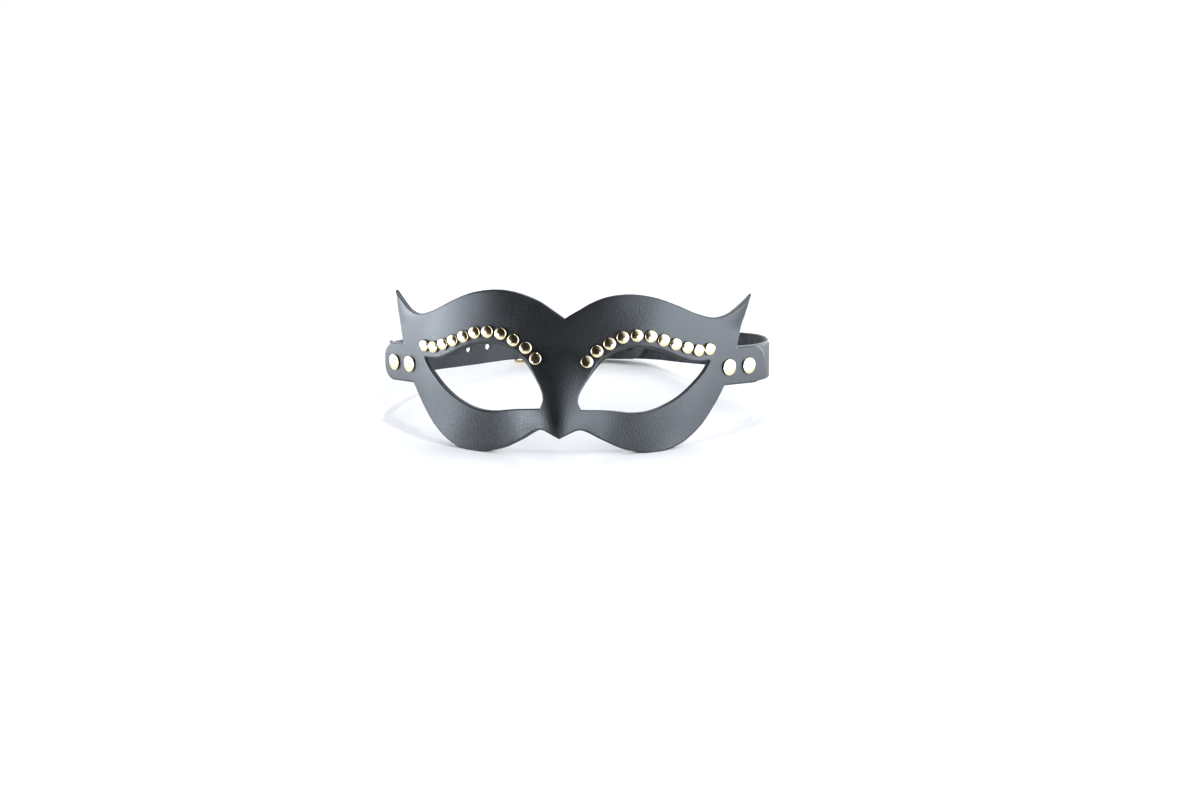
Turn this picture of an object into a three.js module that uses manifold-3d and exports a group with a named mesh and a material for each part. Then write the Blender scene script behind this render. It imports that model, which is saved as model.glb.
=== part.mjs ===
// Studded leather eye mask with a buckled head strap, in millimetres.
// +Z is up. The mask faces -Y, and its strap loops back towards +Y.
// Every piece is first laid out on an upright band, where z is the height on the leather.
// The whole band then leans back until its two cheeks and the back of its strap stand on z = 0.
// On the flat pattern, u runs sideways from the nose, v runs up, and w runs out of the outer face.

import * as THREE from 'three';
import { mergeVertices } from 'three/addons/utils/BufferGeometryUtils.js';
import Module from 'manifold-3d';

const wasm = await Module();
wasm.setup();

// Leather and clearances
const MASK_THICKNESS = 2.8;
const STRAP_THICKNESS = 2.4;
const STRAP_WIDTH = 20;
const GAP = 0.3;

// Form of the mask
const SIDE_TURN = THREE.MathUtils.degToRad(42);
const TURN_REACH = 104;
const NOSE_RISE = 13.6;
const NOSE_SPREAD = 12.9;
const RIDGE_PLACE = -1.5;
const NOSE_TOP = 57;
const NOSE_FULL = 15;
const HORN_SWEEP = 10;
const HORN_START = 76;
const HORN_REACH = 106;
const HORN_LOW = 60;
const HORN_HIGH = 82;
const HAND_BENT = 0.016;
const HAND_BENT_REACH = 12;
const NOTCH_SHIFT = 1.7;
const NOTCH_REACH = 9;
const FOOT_FLAT = 0.5;

// Pattern of the mask
const BAND_LOW = 33.3;
const BAND_MIDDLE = BAND_LOW + STRAP_WIDTH / 2;
const LEFT_TAB_END = 115;
const RIGHT_TAB_END = 117.4;
const TAB_CORNER = 8;
const TAB_NECK_TOP = 97.2;
const TAB_NECK_LOW = 88.8;
const CHEEK_LOW = 0.9;
const CHEEK_U = 46;
const EYE_TOP = 55.4;

// Studs and rivets
const STUDS_PER_SIDE = 11;
const STUD_RADIUS = 3.2;
const STUD_RISE = 1.7;
const STUD_DRIFT = 1.25;
const STUD_POST = 0.9;
const STUD_BACK = 1.9;
const STUD_SIDES = 10;
const RIVET_RADIUS = 4.3;
const RIVET_RISE = 0.9;
const RIVET_POST = 1.3;
const RIVET_SIDES = 12;
const TAB_RIVETS = [91.2, 105];
const TAB_RIVET_HEIGHT = 43;

// Strap loop, buckle and keeper, as stations along the loop from its left end
const STRAP_TAB_START = 84;
const FIRST_HOLE = 106.9;
const HOLE_PITCH = 14;
const HOLE_COUNT = 5;
const HOLE_RADIUS = 1.9;
const HOLE_IN_USE = 3;
const HOLE_PULL = 1.6;
const HOLE_ROW = 43;
const FAR_BAR = 140.5;
const PIVOT_BAR = 156.9;
const TONGUE_CROSSING = 148.2;
const FIRST_STRAP_RIVET = 182;
const KEEPER_STATION = 192.6;
const SECOND_STRAP_RIVET = 212;
const STRAP_RIVET_RADIUS = 3.4;
const STRAP_RIVET_HEIGHT = 42;
const FOLD_END = 223.7;
const BILLET_END = 236;
const BACK_RISE = 1.3;
const BACK_TILT = 0.024;
const RISE_START = 42;
const RISE_END = 85;
const BUCKLE_LIFT = 1.5;
const LIFT_PLACE = -40;
const LIFT_SPREAD = 22;
const BILLET_TIP = 9;
const BAR_THICKNESS = 2.4;
const BAR_PLAY = 0.1;
const FRAME_HEIGHT = 26;
const FRAME_INNER_HEIGHT = 22;
const FRAME_CORNER = 2.6;
const FRAME_CHAMFER = 0.5;
const KEEPER_LENGTH = 6;
const KEEPER_WALL = 0.9;
const KEEPER_CORNER = 1.6;
const TONGUE_THICKNESS = 1.8;
const TONGUE_WIDTH = 2.2;
const TONGUE_RISE = 0.85;
const TONGUE_SLOT = 3.4;
const TONGUE_RING = 1.2;
const TONGUE_PAST_BAR = 1.6;

// Finishes
const leather = new THREE.MeshStandardMaterial({ color: 0x24262b, roughness: 0.42, metalness: 0 });
const brass = new THREE.MeshStandardMaterial({ color: 0xd8bd84, roughness: 0.2, metalness: 1 });

const { smoothstep, lerp } = THREE.MathUtils;

// Closed solid of a geometry, made from its positions alone
function solidOf(geometry) {
  const bare = geometry.clone();
  bare.deleteAttribute('normal');
  bare.deleteAttribute('uv');
  const merged = mergeVertices(bare, 1e-4);
  const index = merged.index.array;
  const kept = [];
  for (let i = 0; i < index.length; i += 3) {
    const [a, b, c] = [index[i], index[i + 1], index[i + 2]];
    if (a !== b && b !== c && c !== a) kept.push(a, b, c);
  }
  return new wasm.Manifold(new wasm.Mesh({
    numProp: 3,
    vertProperties: new Float32Array(merged.attributes.position.array),
    triVerts: new Uint32Array(kept),
  }));
}

function geometryOf(solid) {
  const mesh = solid.getMesh();
  const geometry = new THREE.BufferGeometry();
  geometry.setAttribute('position', new THREE.BufferAttribute(new Float32Array(mesh.vertProperties), 3));
  geometry.setIndex(new THREE.BufferAttribute(new Uint32Array(mesh.triVerts), 1));
  return geometry;
}

function mapPoints(geometry, place) {
  const position = geometry.attributes.position;
  const point = new THREE.Vector3();
  for (let i = 0; i < position.count; i += 1) {
    point.fromBufferAttribute(position, i);
    const placed = place(point.x, point.y, point.z);
    position.setXYZ(i, placed.x, placed.y, placed.z);
  }
  return geometry;
}

// A slight dish keeps the grid lines of a flat sheet in the solid while its outline is cut
const dish = (u, v) => (u * u + v * v) / 1000;

// Flat leather with the outline of a shape, divided along the lines that it will bend at
function cutSheet(shape, thickness, uLines, vLines) {
  const uCount = uLines.length - 1;
  const vCount = vLines.length - 1;
  const grid = mapPoints(new THREE.BoxGeometry(1, 1, 1, uCount, vCount, 1), (x, y, z) => {
    const u = uLines[Math.round((x + 0.5) * uCount)];
    const v = vLines[Math.round((y + 0.5) * vCount)];
    return new THREE.Vector3(u, v, (z - 0.5) * thickness + dish(u, v));
  });
  const span = 2 * dish(uLines[0], vLines[vCount]) + 2 * dish(uLines[uCount], vLines[0]) + 4 * thickness;
  const prism = (outline) => {
    const geometry = new THREE.ExtrudeGeometry(outline, { depth: span, bevelEnabled: false });
    return solidOf(geometry.translate(0, 0, -span / 3));
  };
  let sheet = solidOf(grid).intersect(prism(new THREE.Shape(shape.getPoints(6))));
  for (const hole of shape.holes) {
    sheet = sheet.subtract(prism(new THREE.Shape(hole.getPoints(6))));
  }
  return mapPoints(geometryOf(sheet), (u, v, w) => new THREE.Vector3(u, v, w - dish(u, v)));
}

function lines(start, end, pitch) {
  const count = Math.max(1, Math.round((end - start) / pitch));
  return Array.from({ length: count }, (_, i) => start + ((end - start) * i) / count);
}

function roundHole(u, v, radius, sides = 8) {
  const path = new THREE.Path();
  const corners = Array.from({ length: sides }, (_, i) => {
    const angle = ((i + 0.5) * 2 * Math.PI) / sides;
    return new THREE.Vector2(u + radius * Math.cos(angle), v + radius * Math.sin(angle));
  });
  return path.setFromPoints(corners);
}

// Plan of the mask's outer face: its turning angle grows smoothly from the nose to the tabs
function planAt(u) {
  const steps = 48;
  const step = Math.abs(u) / steps;
  let x = 0;
  let y = 0;
  for (let i = 0; i < steps; i += 1) {
    const angle = SIDE_TURN * smoothstep((i + 0.5) * step, 0, TURN_REACH);
    x += step * Math.cos(angle);
    y += step * Math.sin(angle);
  }
  const turn = SIDE_TURN * smoothstep(Math.abs(u), 0, TURN_REACH);
  return { x: Math.sign(u) * x, y, turn: Math.sign(u) * turn };
}

// The nose rises forward to a ridge, and the horns sweep back
function relief(u, v) {
  const nose = NOSE_RISE * (1 - smoothstep(v, NOSE_FULL, NOSE_TOP));
  const ridge = nose * Math.exp(-0.5 * ((u - RIDGE_PLACE) / NOSE_SPREAD) ** 2);
  const horn = smoothstep(Math.abs(u), HORN_START, HORN_REACH) * smoothstep(v, HORN_LOW, HORN_HIGH);
  return HORN_SWEEP * horn - ridge;
}

// The left half stands a little taller than the right one
function bandHeight(v, share) {
  return v * (1 - HAND_BENT * share);
}

function facePoint(u, v) {
  const plan = planAt(u);
  const share = Math.sign(u) * smoothstep(Math.abs(u), 0, HAND_BENT_REACH);
  return new THREE.Vector3(plan.x, plan.y + relief(u, v), bandHeight(v, share));
}

function faceNormal(u, v) {
  const reach = 0.05;
  const across = facePoint(u + reach, v).sub(facePoint(u - reach, v));
  const upward = facePoint(u, v + reach).sub(facePoint(u, v - reach));
  return across.cross(upward).normalize();
}

function onMask(u, v, w) {
  return facePoint(u, v).addScaledVector(faceNormal(u, v), w);
}

const vectors = (points) => points.map(([u, v]) => new THREE.Vector2(u, v));

// Half outlines of the pattern, from the notch between the brows to the tip of the nose
const BROW = [[0, 69.7], [6, 73.8], [15, 78.8], [25, 82.1], [36, 82.9], [48, 81.1], [60, 76.8], [72, 71.9],
  [82, 69.8], [91, 71.3], [99.6, 75.6], [107.8, 80.8]];
const HORN_SIDE = [[107.8, 80.8], [104.3, 72.4], [100.1, 63.8], [TAB_NECK_TOP, BAND_LOW + STRAP_WIDTH]];
const CHEEK = [[TAB_NECK_LOW, BAND_LOW], [81.6, 22.9], [72.4, 12.3], [60, 4], [CHEEK_U, CHEEK_LOW],
  [32.2, 3.1], [21.6, 8], [13.6, 13.1], [9.4, 14.3], [5.6, 13], [0, 10.3]];
const EYE_BROW = [[79, 47.2], [72, 46.9], [66, 47.4], [60, 49.2], [54, 51.9], [47, 54.2], [38, EYE_TOP],
  [32, 54.6], [27, 52.8], [22.6, 49.9], [18, 45.6], [11.2, 35.6], [9.1, 29.4], [10.6, 25]];
const EYE_CHEEK = [[10.6, 25], [25, 23.4], [37, 22], [48, 23.7], [61.2, 29.9], [73.4, 40], [79, 47.2]];
const STUD_ROW = [[78, 53.4], [71.6, 53.1], [59.2, 56.6], [45.6, 61.2], [38.6, 61.9], [31.2, 61.1],
  [18.4, 54.3], [13, 48.6]];

function splinePoints(points, perSpan) {
  return new THREE.SplineCurve(vectors(points)).getPoints((points.length - 1) * perSpan);
}

function tabPoints(end) {
  const corner = new THREE.Path();
  const u = end - TAB_CORNER;
  corner.absarc(u, BAND_LOW + STRAP_WIDTH - TAB_CORNER, TAB_CORNER, Math.PI / 2, 0, true);
  corner.absarc(u, BAND_LOW + TAB_CORNER, TAB_CORNER, 0, -Math.PI / 2, true);
  return corner.getPoints(5);
}

// The studs stand a little closer together towards the tab than towards the nose
function studPlaces(side) {
  const row = new THREE.SplineCurve(vectors(STUD_ROW));
  const drift = STUD_DRIFT / row.getLength();
  return Array.from({ length: STUDS_PER_SIDE }, (_, i) => {
    const share = i / (STUDS_PER_SIDE - 1);
    const { x, y } = row.getPointAt(share - drift * Math.sin(Math.PI * share));
    return { u: side * x, v: y };
  });
}

// The notch between the brows sits a little right of the nose
function offCentre({ x, y }) {
  const near = Math.exp(-0.5 * (x / NOTCH_REACH) ** 2) * smoothstep(y, EYE_TOP, BROW[0][1]);
  return new THREE.Vector2(x + NOTCH_SHIFT * near, y);
}

function maskShape() {
  const half = (tabEnd) => [
    ...splinePoints(BROW, 3).slice(1),
    ...splinePoints(HORN_SIDE, 3).slice(1),
    ...tabPoints(tabEnd),
    ...splinePoints(CHEEK, 3).slice(0, -1),
  ];
  const left = half(LEFT_TAB_END).map((point) => new THREE.Vector2(-point.x, point.y)).reverse();
  const notch = new THREE.Vector2(...BROW[0]);
  const noseTip = new THREE.Vector2(...CHEEK[CHEEK.length - 1]);
  const outline = [notch, ...half(RIGHT_TAB_END), noseTip, ...left];
  const shape = new THREE.Shape(outline.map(offCentre));
  for (const side of [1, -1]) {
    const eye = [...splinePoints(EYE_BROW, 2), ...splinePoints(EYE_CHEEK, 3).slice(1, -1)];
    shape.holes.push(new THREE.Path(eye.map((point) => new THREE.Vector2(side * point.x, point.y))));
    for (const stud of studPlaces(side)) {
      shape.holes.push(roundHole(stud.u, stud.v, STUD_POST + GAP, 6));
    }
    for (const u of TAB_RIVETS) {
      shape.holes.push(roundHole(side * u, TAB_RIVET_HEIGHT, RIVET_POST + GAP));
    }
  }
  return shape;
}

function makeMaskFront() {
  const half = [...lines(0, 30, 3.75), ...lines(30, 120, 7.5), 120];
  const uLines = [...half.slice(1).map((u) => -u).reverse(), ...half];
  const vLines = [...lines(-1, 62, 9), ...lines(62, 86, 8), 86];
  return mapPoints(cutSheet(maskShape(), MASK_THICKNESS, uLines, vLines), onMask);
}

// A turned stud or rivet stands on its own axis, with the outer face of the leather at height 0
function turned(profile, sides) {
  const outline = profile.map(([radius, height]) => new THREE.Vector2(radius, height));
  return geometryOf(solidOf(new THREE.LatheGeometry(outline, sides)));
}

function makeStud() {
  const inside = -MASK_THICKNESS - GAP;
  return turned([
    [0, inside - 0.6], [STUD_BACK, inside], [STUD_POST, inside],
    [STUD_POST, GAP], [STUD_RADIUS, GAP], [STUD_RADIUS, GAP + STUD_RISE * 0.5],
    [STUD_RADIUS * 0.86, GAP + STUD_RISE * 0.75], [0, GAP + STUD_RISE],
  ], STUD_SIDES);
}

function makeRivet(grip, radius) {
  const inside = -grip - GAP;
  const shoulder = radius * 0.72;
  return turned([
    [0, inside - RIVET_RISE * 0.8], [shoulder, inside - RIVET_RISE * 0.6], [radius, inside],
    [RIVET_POST, inside], [RIVET_POST, GAP], [radius, GAP],
    [radius * 0.94, GAP + RIVET_RISE * 0.4], [shoulder, GAP + RIVET_RISE * 0.8], [0, GAP + RIVET_RISE],
  ], RIVET_SIDES);
}

// Sets a turned piece on a point, with its axis along the outward normal
function setOn(geometry, point, normal) {
  const turn = new THREE.Quaternion().setFromUnitVectors(new THREE.Vector3(0, 1, 0), normal);
  return geometry.clone().applyQuaternion(turn).translate(point.x, point.y, point.z);
}

// Strap loop in plan, from behind the left tab round the back to behind the right tab
function tabLine(side) {
  const inward = MASK_THICKNESS + GAP + STRAP_THICKNESS / 2;
  return [STRAP_TAB_START, 92, 100, 107, 112].map((u) => {
    const plan = planAt(u);
    const x = plan.x - inward * Math.sin(plan.turn);
    const y = plan.y + inward * Math.cos(plan.turn);
    return new THREE.Vector3(side * x, y, 0);
  });
}

const LOOP = new THREE.CatmullRomCurve3([
  ...tabLine(-1),
  ...[[-99.8, 51], [-98.6, 66], [-84.5, 96], [-68.5, 115.5], [-50, 132], [-22, 142], [16, 143.6], [40, 134.5],
    [58, 114], [84, 88], [102, 72], [105.2, 58]].map(([x, y]) => new THREE.Vector3(x, y, 0)),
  ...tabLine(1).reverse(),
], false, 'centripetal');
LOOP.arcLengthDivisions = 2000;
const LOOP_LENGTH = LOOP.getLength();

function loopFrame(station) {
  const share = THREE.MathUtils.clamp(station / LOOP_LENGTH, 0, 1);
  const point = LOOP.getPointAt(share);
  const tangent = LOOP.getTangentAt(share);
  return { point, outward: new THREE.Vector3(-tangent.y, tangent.x, 0) };
}

// Point beside the loop, at a distance outwards from its middle line
function besideLoop(station, offset) {
  const { point, outward } = loopFrame(station);
  return point.clone().addScaledVector(outward, offset);
}

// Height of a strap at a point in plan: it follows the tabs, and its back stands higher at the right and
// at the buckle
function strapHeight(v, { x, y }) {
  const lift = BUCKLE_LIFT * Math.exp(-(((x - LIFT_PLACE) / LIFT_SPREAD) ** 2));
  const back = smoothstep(y, RISE_START, RISE_END) * (BACK_RISE + BACK_TILT * x + lift);
  return bandHeight(v, THREE.MathUtils.clamp(x / planAt(LEFT_TAB_END).x, -1, 1)) + back;
}

function stationOfTab(u, side) {
  const plan = planAt(u);
  const inward = MASK_THICKNESS + GAP + STRAP_THICKNESS / 2;
  const x = side * (plan.x - inward * Math.sin(plan.turn));
  const target = new THREE.Vector3(x, plan.y + inward * Math.cos(plan.turn), 0);
  const start = side < 0 ? 0 : LOOP_LENGTH - 60;
  let best = start;
  for (let station = start; station <= start + 60; station += 0.1) {
    const closer = besideLoop(station, 0).distanceTo(target) < besideLoop(best, 0).distanceTo(target);
    if (closer) best = station;
  }
  return best;
}

// Maps a flat strap along a middle line given by a function of the distance run
function alongLine(middle) {
  return (run, v, w) => {
    const reach = 0.05;
    const point = middle(run);
    const tangent = middle(run + reach).sub(middle(run - reach)).normalize();
    const sideways = new THREE.Vector3(tangent.y, -tangent.x, 0);
    const placed = point.addScaledVector(sideways, w + STRAP_THICKNESS / 2);
    return new THREE.Vector3(placed.x, placed.y, strapHeight(v, placed));
  };
}

// Distances outwards from the loop's middle line
const BAR_CLEAR = BAR_THICKNESS / 2 + BAR_PLAY + GAP;
const WRAP = BAR_CLEAR + STRAP_THICKNESS / 2;
const LAYER_SPACE = 0.35;
const FOLD_LAYER = -(STRAP_THICKNESS + LAYER_SPACE);
const RIVET_CAP = RIVET_RISE + 2 * GAP;
const BILLET_OVER_RIVETS = STRAP_THICKNESS + RIVET_CAP;
const BILLET_OVER_PIVOT = WRAP + STRAP_THICKNESS + GAP;
const FAR_BAR_OFFSET = STRAP_THICKNESS / 2 + GAP + BAR_THICKNESS / 2;

function strapOffset(station) {
  return WRAP * (1 - smoothstep(station, PIVOT_BAR + 1, PIVOT_BAR + 16));
}

function billetOffset(station) {
  const through = smoothstep(station, FAR_BAR + 0.5, PIVOT_BAR - 1);
  const settled = smoothstep(station, PIVOT_BAR + 3, PIVOT_BAR + 18);
  const down = smoothstep(station, SECOND_STRAP_RIVET + STRAP_RIVET_RADIUS, BILLET_END - 2);
  return BILLET_OVER_PIVOT * through
    + (BILLET_OVER_RIVETS - BILLET_OVER_PIVOT) * settled
    + (STRAP_THICKNESS + GAP - BILLET_OVER_RIVETS) * down;
}

// The buckle strap runs from the right tab to the pivot bar, round it, and back inside the loop
const WRAP_RUN = LOOP_LENGTH - PIVOT_BAR;
const WRAP_LENGTH = Math.PI * WRAP;
const FOLD_RUN = WRAP_RUN + WRAP_LENGTH;

function buckleStrapLine(run) {
  if (run < WRAP_RUN) {
    const station = LOOP_LENGTH - run;
    return besideLoop(station, strapOffset(station));
  }
  if (run < FOLD_RUN) {
    const angle = (run - WRAP_RUN) / WRAP;
    return besideLoop(PIVOT_BAR - WRAP * Math.sin(angle), WRAP * Math.cos(angle));
  }
  const station = PIVOT_BAR + run - FOLD_RUN;
  return besideLoop(station, lerp(-WRAP, FOLD_LAYER, smoothstep(station, PIVOT_BAR, PIVOT_BAR + 10)));
}

function strapShape(start, end, endRadius) {
  const tip = end - endRadius;
  const shape = new THREE.Shape();
  shape.moveTo(start, BAND_LOW + STRAP_WIDTH);
  shape.lineTo(start, BAND_LOW);
  shape.lineTo(tip, BAND_LOW);
  shape.absellipse(tip, BAND_MIDDLE, endRadius, STRAP_WIDTH / 2, -Math.PI / 2, Math.PI / 2, false);
  shape.closePath();
  return shape;
}

// A round-ended slot between two stations on the row of holes
function slotPath(start, end, radius) {
  const slot = new THREE.Path();
  slot.absarc(start, HOLE_ROW, radius, Math.PI / 2, 1.5 * Math.PI, false);
  slot.absarc(end, HOLE_ROW, radius, -Math.PI / 2, Math.PI / 2, false);
  return slot;
}

function makeBilletStrap() {
  const shape = strapShape(0, BILLET_END, BILLET_TIP);
  for (const u of TAB_RIVETS) {
    shape.holes.push(roundHole(stationOfTab(u, -1), TAB_RIVET_HEIGHT, RIVET_POST + GAP));
  }
  for (let i = 0; i < HOLE_COUNT; i += 1) {
    const station = FIRST_HOLE + i * HOLE_PITCH;
    const round = roundHole(station, HOLE_ROW, HOLE_RADIUS, 10);
    // The tongue has pulled the hole in use long
    const pulled = slotPath(TONGUE_CROSSING - HOLE_PULL, TONGUE_CROSSING + HOLE_PULL, HOLE_RADIUS);
    shape.holes.push(i === HOLE_IN_USE ? pulled : round);
  }
  const runs = [...lines(0, 24, 6), ...lines(24, 48, 3), ...lines(48, FAR_BAR, 6.5),
    ...lines(FAR_BAR, PIVOT_BAR, 1.75), ...lines(PIVOT_BAR, BILLET_END + 1, 6), BILLET_END + 1];
  const sheet = cutSheet(shape, STRAP_THICKNESS, runs, [BAND_LOW - 1, BAND_LOW + STRAP_WIDTH + 1]);
  return mapPoints(sheet, alongLine((run) => besideLoop(run, billetOffset(run))));
}

function makeBuckleStrap() {
  const end = FOLD_RUN + FOLD_END - PIVOT_BAR;
  const shape = strapShape(0, end, STRAP_WIDTH / 2);
  for (const u of TAB_RIVETS) {
    const run = LOOP_LENGTH - stationOfTab(u, 1);
    shape.holes.push(roundHole(run, TAB_RIVET_HEIGHT, RIVET_POST + GAP));
  }
  for (const station of [FIRST_STRAP_RIVET, SECOND_STRAP_RIVET]) {
    shape.holes.push(roundHole(LOOP_LENGTH - station, STRAP_RIVET_HEIGHT, RIVET_POST + GAP));
    shape.holes.push(roundHole(FOLD_RUN + station - PIVOT_BAR, STRAP_RIVET_HEIGHT, RIVET_POST + GAP));
  }
  shape.holes.push(slotPath(WRAP_RUN - 2, FOLD_RUN + 2, TONGUE_SLOT / 2));
  const runs = [...lines(0, 24, 6), ...lines(24, 48, 3), ...lines(48, WRAP_RUN - 14, 7),
    ...lines(WRAP_RUN - 14, WRAP_RUN, 4), ...lines(WRAP_RUN, FOLD_RUN, 1.1), ...lines(FOLD_RUN, end + 1, 6),
    end + 1];
  const sheet = cutSheet(shape, STRAP_THICKNESS, runs, [BAND_LOW - 1, BAND_LOW + STRAP_WIDTH + 1]);
  return mapPoints(sheet, alongLine(buckleStrapLine));
}

function roundedFrame(length, height, corner) {
  const shape = new THREE.Shape();
  const x = length / 2;
  const y = height / 2;
  shape.moveTo(-x + corner, -y);
  shape.absarc(x - corner, -y + corner, corner, -Math.PI / 2, 0, false);
  shape.absarc(x - corner, y - corner, corner, 0, Math.PI / 2, false);
  shape.absarc(-x + corner, y - corner, corner, Math.PI / 2, Math.PI, false);
  shape.absarc(-x + corner, -y + corner, corner, Math.PI, 1.5 * Math.PI, false);
  return shape;
}

// Places a piece drawn with x along the loop, y up and z inwards at a point between two stations
function setOnLoop(geometry, from, to) {
  const along = to.clone().sub(from).normalize();
  const up = new THREE.Vector3(0, 0, 1);
  const inward = along.clone().cross(up);
  const middle = from.clone().add(to).multiplyScalar(0.5);
  middle.z = strapHeight(BAND_MIDDLE, middle);
  const matrix = new THREE.Matrix4().makeBasis(along, up, inward).setPosition(middle);
  return geometry.applyMatrix4(matrix);
}

const farBar = besideLoop(FAR_BAR, FAR_BAR_OFFSET);
const pivotBar = besideLoop(PIVOT_BAR, 0);

function makeBuckleFrame() {
  const spacing = farBar.distanceTo(pivotBar);
  const frame = roundedFrame(spacing + BAR_THICKNESS, FRAME_HEIGHT, FRAME_CORNER);
  frame.holes.push(roundedFrame(spacing - BAR_THICKNESS, FRAME_INNER_HEIGHT, 0.8));
  const geometry = new THREE.ExtrudeGeometry(frame, {
    depth: BAR_THICKNESS - 2 * FRAME_CHAMFER,
    bevelThickness: FRAME_CHAMFER,
    bevelSize: FRAME_CHAMFER,
    bevelOffset: -FRAME_CHAMFER,
    bevelSegments: 1,
    curveSegments: 2,
  });
  geometry.translate(0, 0, FRAME_CHAMFER - BAR_THICKNESS / 2);
  return setOnLoop(geometryOf(solidOf(geometry)), farBar, pivotBar);
}

// The tongue is drawn in plan, round the pivot bar and out to rest on the far bar
function makeTongue() {
  const ring = BAR_CLEAR + TONGUE_RING;
  const overBar = FAR_BAR_OFFSET + BAR_THICKNESS / 2 + GAP + TONGUE_THICKNESS / 2;
  const rest = besideLoop(FAR_BAR - TONGUE_PAST_BAR, overBar + TONGUE_RISE);
  const reach = rest.clone().sub(pivotBar);
  const length = reach.length();
  const half = TONGUE_THICKNESS / 2;
  const spread = Math.asin(half / ring);
  const shape = new THREE.Shape();
  shape.absarc(0, 0, ring, spread, 2 * Math.PI - spread, false);
  shape.lineTo(length - half, -half);
  shape.absarc(length - half, 0, half, -Math.PI / 2, Math.PI / 2, false);
  shape.closePath();
  shape.holes.push(roundHole(0, 0, BAR_CLEAR, 10));
  const options = { depth: TONGUE_WIDTH, bevelEnabled: false, curveSegments: 8 };
  const geometry = new THREE.ExtrudeGeometry(shape, options);
  geometry.translate(0, 0, -TONGUE_WIDTH / 2);
  geometry.rotateZ(Math.atan2(reach.y, reach.x));
  const height = strapHeight(HOLE_ROW, pivotBar);
  return geometryOf(solidOf(geometry)).translate(pivotBar.x, pivotBar.y, height);
}

const keeperOuter = () => billetOffset(KEEPER_STATION) + STRAP_THICKNESS / 2 + GAP;

function makeKeeper() {
  const inner = FOLD_LAYER - STRAP_THICKNESS / 2 - GAP;
  const outer = keeperOuter();
  const tall = STRAP_WIDTH + 2 * GAP;
  const ring = roundedFrame(outer - inner + 2 * KEEPER_WALL, tall + 2 * KEEPER_WALL, KEEPER_CORNER);
  ring.holes.push(roundedFrame(outer - inner, tall, 0.5));
  const options = { depth: KEEPER_LENGTH, bevelEnabled: false, curveSegments: 3 };
  const geometry = new THREE.ExtrudeGeometry(ring, options);
  geometry.translate(0, 0, -KEEPER_LENGTH / 2);
  const { outward } = loopFrame(KEEPER_STATION);
  const middle = besideLoop(KEEPER_STATION, (inner + outer) / 2);
  middle.z = strapHeight(BAND_MIDDLE, middle);
  const up = new THREE.Vector3(0, 0, 1);
  const matrix = new THREE.Matrix4().makeBasis(outward, up, outward.clone().cross(up)).setPosition(middle);
  return geometryOf(solidOf(geometry)).applyMatrix4(matrix);
}

// The band leans back until its cheeks and the keeper, the lowest piece at its back, stand on the floor
function keeperFoot() {
  const foot = besideLoop(KEEPER_STATION, keeperOuter() + KEEPER_WALL);
  foot.z = strapHeight(BAND_LOW - GAP - KEEPER_WALL, foot);
  return foot;
}

const cheekFoot = onMask(CHEEK_U, CHEEK_LOW, 0);
const backFoot = keeperFoot();
const LEAN = Math.atan2(backFoot.z - cheekFoot.z, backFoot.y - cheekFoot.y);
const band = new THREE.Group();
band.rotation.x = -LEAN;
band.position.z = cheekFoot.y * Math.sin(LEAN) - cheekFoot.z * Math.cos(LEAN) - FOOT_FLAT;
band.updateMatrix();

// Pares a piece level with the floor where it stands
function pared(geometry) {
  const slab = new THREE.BoxGeometry(400, 400, 20).translate(0, 0, -10);
  slab.applyMatrix4(band.matrix.clone().invert());
  return geometryOf(solidOf(geometry).subtract(solidOf(slab)));
}

function addPiece(name, geometry, material) {
  const mesh = new THREE.Mesh(geometry, material);
  mesh.name = name;
  band.add(mesh);
}

addPiece('mask_front', pared(makeMaskFront()), leather);

const stud = makeStud();
for (const [side, word] of [[-1, 'left'], [1, 'right']]) {
  studPlaces(side).forEach(({ u, v }, i) => {
    const number = String(i + 1).padStart(2, '0');
    addPiece(`brow_stud_${word}_${number}`, setOn(stud, facePoint(u, v), faceNormal(u, v)), brass);
  });
}

const tabRivet = makeRivet(MASK_THICKNESS + GAP + STRAP_THICKNESS, RIVET_RADIUS);
for (const [side, word] of [[-1, 'left'], [1, 'right']]) {
  ['inner', 'outer'].forEach((place, i) => {
    const u = side * TAB_RIVETS[i];
    const point = facePoint(u, TAB_RIVET_HEIGHT);
    addPiece(`tab_rivet_${word}_${place}`, setOn(tabRivet, point, faceNormal(u, TAB_RIVET_HEIGHT)), brass);
  });
}

addPiece('billet_strap', makeBilletStrap(), leather);
addPiece('buckle_strap', makeBuckleStrap(), leather);
addPiece('buckle_frame', makeBuckleFrame(), brass);
addPiece('buckle_tongue', makeTongue(), brass);
addPiece('strap_keeper', pared(makeKeeper()), brass);

const strapRivet = makeRivet(2 * STRAP_THICKNESS + LAYER_SPACE, STRAP_RIVET_RADIUS);
[FIRST_STRAP_RIVET, SECOND_STRAP_RIVET].forEach((station, i) => {
  const point = besideLoop(station, STRAP_THICKNESS / 2);
  point.z = strapHeight(STRAP_RIVET_HEIGHT, point);
  addPiece(`strap_rivet_${i + 1}`, setOn(strapRivet, point, loopFrame(station).outward), brass);
});

// The origin is the middle of the bounding box, on the floor
const mask = new THREE.Group();
mask.add(band);
mask.updateMatrixWorld(true);
const middle = new THREE.Box3().setFromObject(mask, true).getCenter(new THREE.Vector3());
band.position.x -= middle.x;
band.position.y -= middle.y;

export default mask;
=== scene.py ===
# Studded leather eye mask with a buckled head strap: its fine shape, finishes, light and camera.
# The pattern of the leather is in millimetres, and every finished mesh is in metres.
# On the pattern, u runs sideways from the nose, v runs up, and w runs out of the outer face.
import math

import bpy
import numpy as np
from mathutils import Matrix, Vector
from mathutils.geometry import delaunay_2d_cdt


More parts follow.
